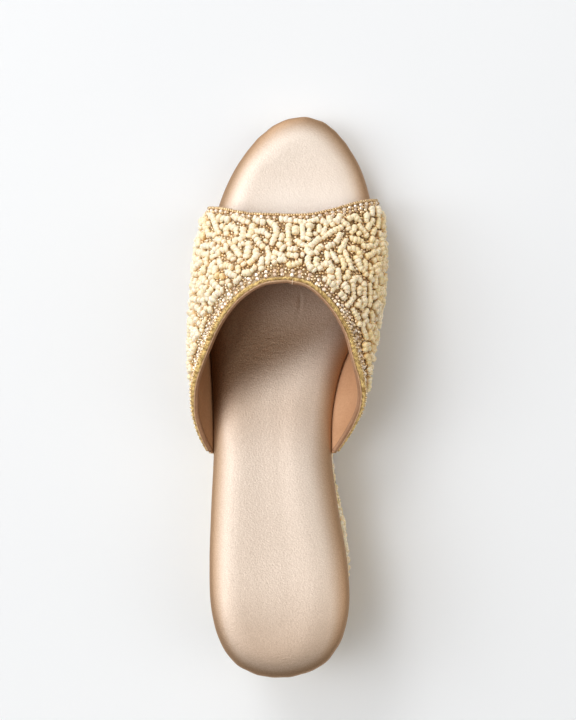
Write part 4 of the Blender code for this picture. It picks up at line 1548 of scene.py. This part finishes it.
crystals = [bead for row in CRYSTAL_ROWS for bead in sew_row(row, upper_ground, crowd, dice, 1.0)]
edge_seeds = [darker(bead, 0.3 if row.edge is TOE else 0.8)
              for row in SEED_ROWS for bead in sew_row(row, upper_ground, crowd, dice, 1.12)]
vamp_ivory = []
laid_strands = FORE_STRANDS + INNER_STRANDS
for number, laid in enumerate(laid_strands):
    vamp_ivory += stitch_strand(upper_ground, crowd, dice, number, *laid)
vamp_ivory += grow_strands(upper_ground, crowd, dice, first_strand=len(laid_strands))
vamp_gold = [darker(bead, 0.4 if TOE_TREE.find_nearest(bead.place)[3] < TOE_BAND else 1)
             for bead in fill_gold(upper_ground, crowd, dice)]

ivory_pattern = round_bead("ivory_pattern", 10, 1.42, 2.0, 0.56, segments=2)
gold_pattern = round_bead("gold_pattern", 7, 0.68, 1.05, 0.3)
crystal_pattern = eased_drum("crystal_pattern", 8, 0.92, 1.2, 0.42 * 0.92)
sew("throat_and_toe_crystals", crystals, crystal_pattern, CRYSTAL, "champagne_beads", upper_ground)
sew("vamp_ivory_beads", vamp_ivory, ivory_pattern, IVORY, "ivory_beads", upper_ground)
sew("vamp_gold_beads", vamp_gold + edge_seeds, gold_pattern, GOLD_BEAD, "champagne_beads",
    upper_ground)

# ---------------------------------------------------------------- put together: beads of the wedge
FACE_DROPS = (1.0, 0.85, 0.7, 0.55, 0.4, 0.25, 0.12, 0.04)


def wedge_allows(spot, kind):
    """Keeps beads off the wedge's upper and lower rims."""
    station = station_at(spot)
    top = underside(station) - GAP - spot.z / MM
    foot = spot.z / MM - floor_line(station) - SOLE_THICKNESS
    room = 1.15 if kind == "ivory" else 0.6
    return top > room and foot > room


def wedge_face():
    """Points and faces of the wedge's side wall, all the way round."""
    points = [wedge_point(2 * math.pi * i / WEDGE_AROUND, drop)
              for drop in FACE_DROPS for i in range(WEDGE_AROUND)]
    faces = []
    for row in range(len(FACE_DROPS) - 1):
        for i in range(WEDGE_AROUND):
            here = row * WEDGE_AROUND + i
            beside = row * WEDGE_AROUND + (i + 1) % WEDGE_AROUND
            faces.append((here, beside, beside + WEDGE_AROUND, here + WEDGE_AROUND))
    return points, faces


wedge_ground = Ground(*wedge_face(), wedge_allows)
wedge_crowd = Crowd()
wedge_ivory = grow_strands(wedge_ground, wedge_crowd, dice)
wedge_gold = fill_gold(wedge_ground, wedge_crowd, dice)
sew("wedge_ivory_beads", wedge_ivory, ivory_pattern, IVORY, "ivory_beads", wedge_ground)
sew("wedge_gold_beads", wedge_gold, gold_pattern, GOLD_BEAD, "champagne_beads", wedge_ground)
for pattern in (ivory_pattern, gold_pattern, crystal_pattern):
    bpy.data.objects.remove(pattern)

# ---------------------------------------------------------------- floor, light and camera
FLOOR_SIZE = 6.0
BOX_DISTANCE = 1.6
CAMERA_REACH = 2.7625                   # lens length as a share of the sensor's height
CAMERA_TILT = math.radians(2.878209)
WARM = (1.05, 0.98, 0.89)
CLEAR = (0.98, 1.0, 1.03)
BACKDROP = (0.80, 0.81, 0.82)           # what a low camera sees past the floor
Glow = namedtuple("Glow", "lean heading tightness strength tint")
STUDIO = (                # soft boxes all round: degrees from overhead, degrees round from +X
    Glow(26, 0, 24, 1.71, WARM), Glow(26, 180, 24, 4.75, CLEAR), Glow(52, 0, 14, 1.50, WARM),
    Glow(52, 90, 14, 0.22, CLEAR), Glow(52, 180, 14, 0.75, CLEAR), Glow(78, 120, 8, 2.55, CLEAR),
)


def aim(lean, heading):
    """Unit direction from the shoe: degrees from overhead, degrees round from +X."""
    lean, heading = math.radians(lean), math.radians(heading)
    aside = math.sin(lean)
    return Vector((aside * math.cos(heading), aside * math.sin(heading), math.cos(lean)))


def studio_sky():
    """A room of soft light, clear at the outer side and dimmer and warmer opposite."""
    world = bpy.data.worlds.new("studio")
    bpy.context.scene.world = world
    world.use_nodes = True
    bench = Bench(world.node_tree)
    facing = bench.add("ShaderNodeTexCoord").outputs["Generated"]
    light = (0.02, 0.02, 0.02)
    for glow in STUDIO:
        towards = aim(glow.lean, glow.heading)
        match = bench.add("ShaderNodeVectorMath", {0: facing, 1: towards}, operation="DOT_PRODUCT")
        fall = bench.scaled(match.outputs["Value"], glow.tightness, -glow.tightness)
        colour = tuple(part * glow.strength for part in glow.tint)
        sum_up = {0: bench.math("EXPONENT", fall), 1: colour, 2: light}
        light = bench.add("ShaderNodeVectorMath", sum_up, operation="MULTIPLY_ADD").outputs["Vector"]
    sky = world.node_tree.nodes["Background"]
    seen = bench.add("ShaderNodeLightPath").outputs["Is Camera Ray"]
    bench.feed(sky.inputs["Color"], bench.mix(seen, light, BACKDROP))
    sky.inputs["Strength"].default_value = 1.0


def soft_box(name, lean, heading, size, watts):
    """One round soft box turned to the shoe."""
    spot = aim(lean, heading) * BOX_DISTANCE
    deselect()
    bpy.ops.object.light_add(type="AREA", location=spot)
    box = bpy.context.object
    box.name = name
    box.data.shape = "DISK"
    box.data.size = size
    box.data.energy = watts
    box.data.color = CLEAR
    box.rotation_euler = spot.to_track_quat("Z", "Y").to_euler()


deselect()
bpy.ops.mesh.primitive_plane_add(size=FLOOR_SIZE)
floor = settle(named("floor"))
floor.data.materials.append(FLOOR)
studio_sky()
soft_box("toe_side_box", 48, 120, 0.6, 5.0)
soft_box("outer_side_box", 55, 175, 0.8, 3.9)

camera = bpy.data.cameras.new("camera")
camera.sensor_fit = "VERTICAL"
camera.sensor_height = 36.0
camera.lens = camera.sensor_height * CAMERA_REACH
view = bpy.data.objects.new("camera", camera)
bpy.context.scene.collection.objects.link(view)
view.location = (0.044, 0.0146, 0.900)
view.rotation_euler = Euler((0.0, CAMERA_TILT, 0.0))
bpy.context.scene.camera = view
bpy.context.scene.view_settings.view_transform = "Standard"
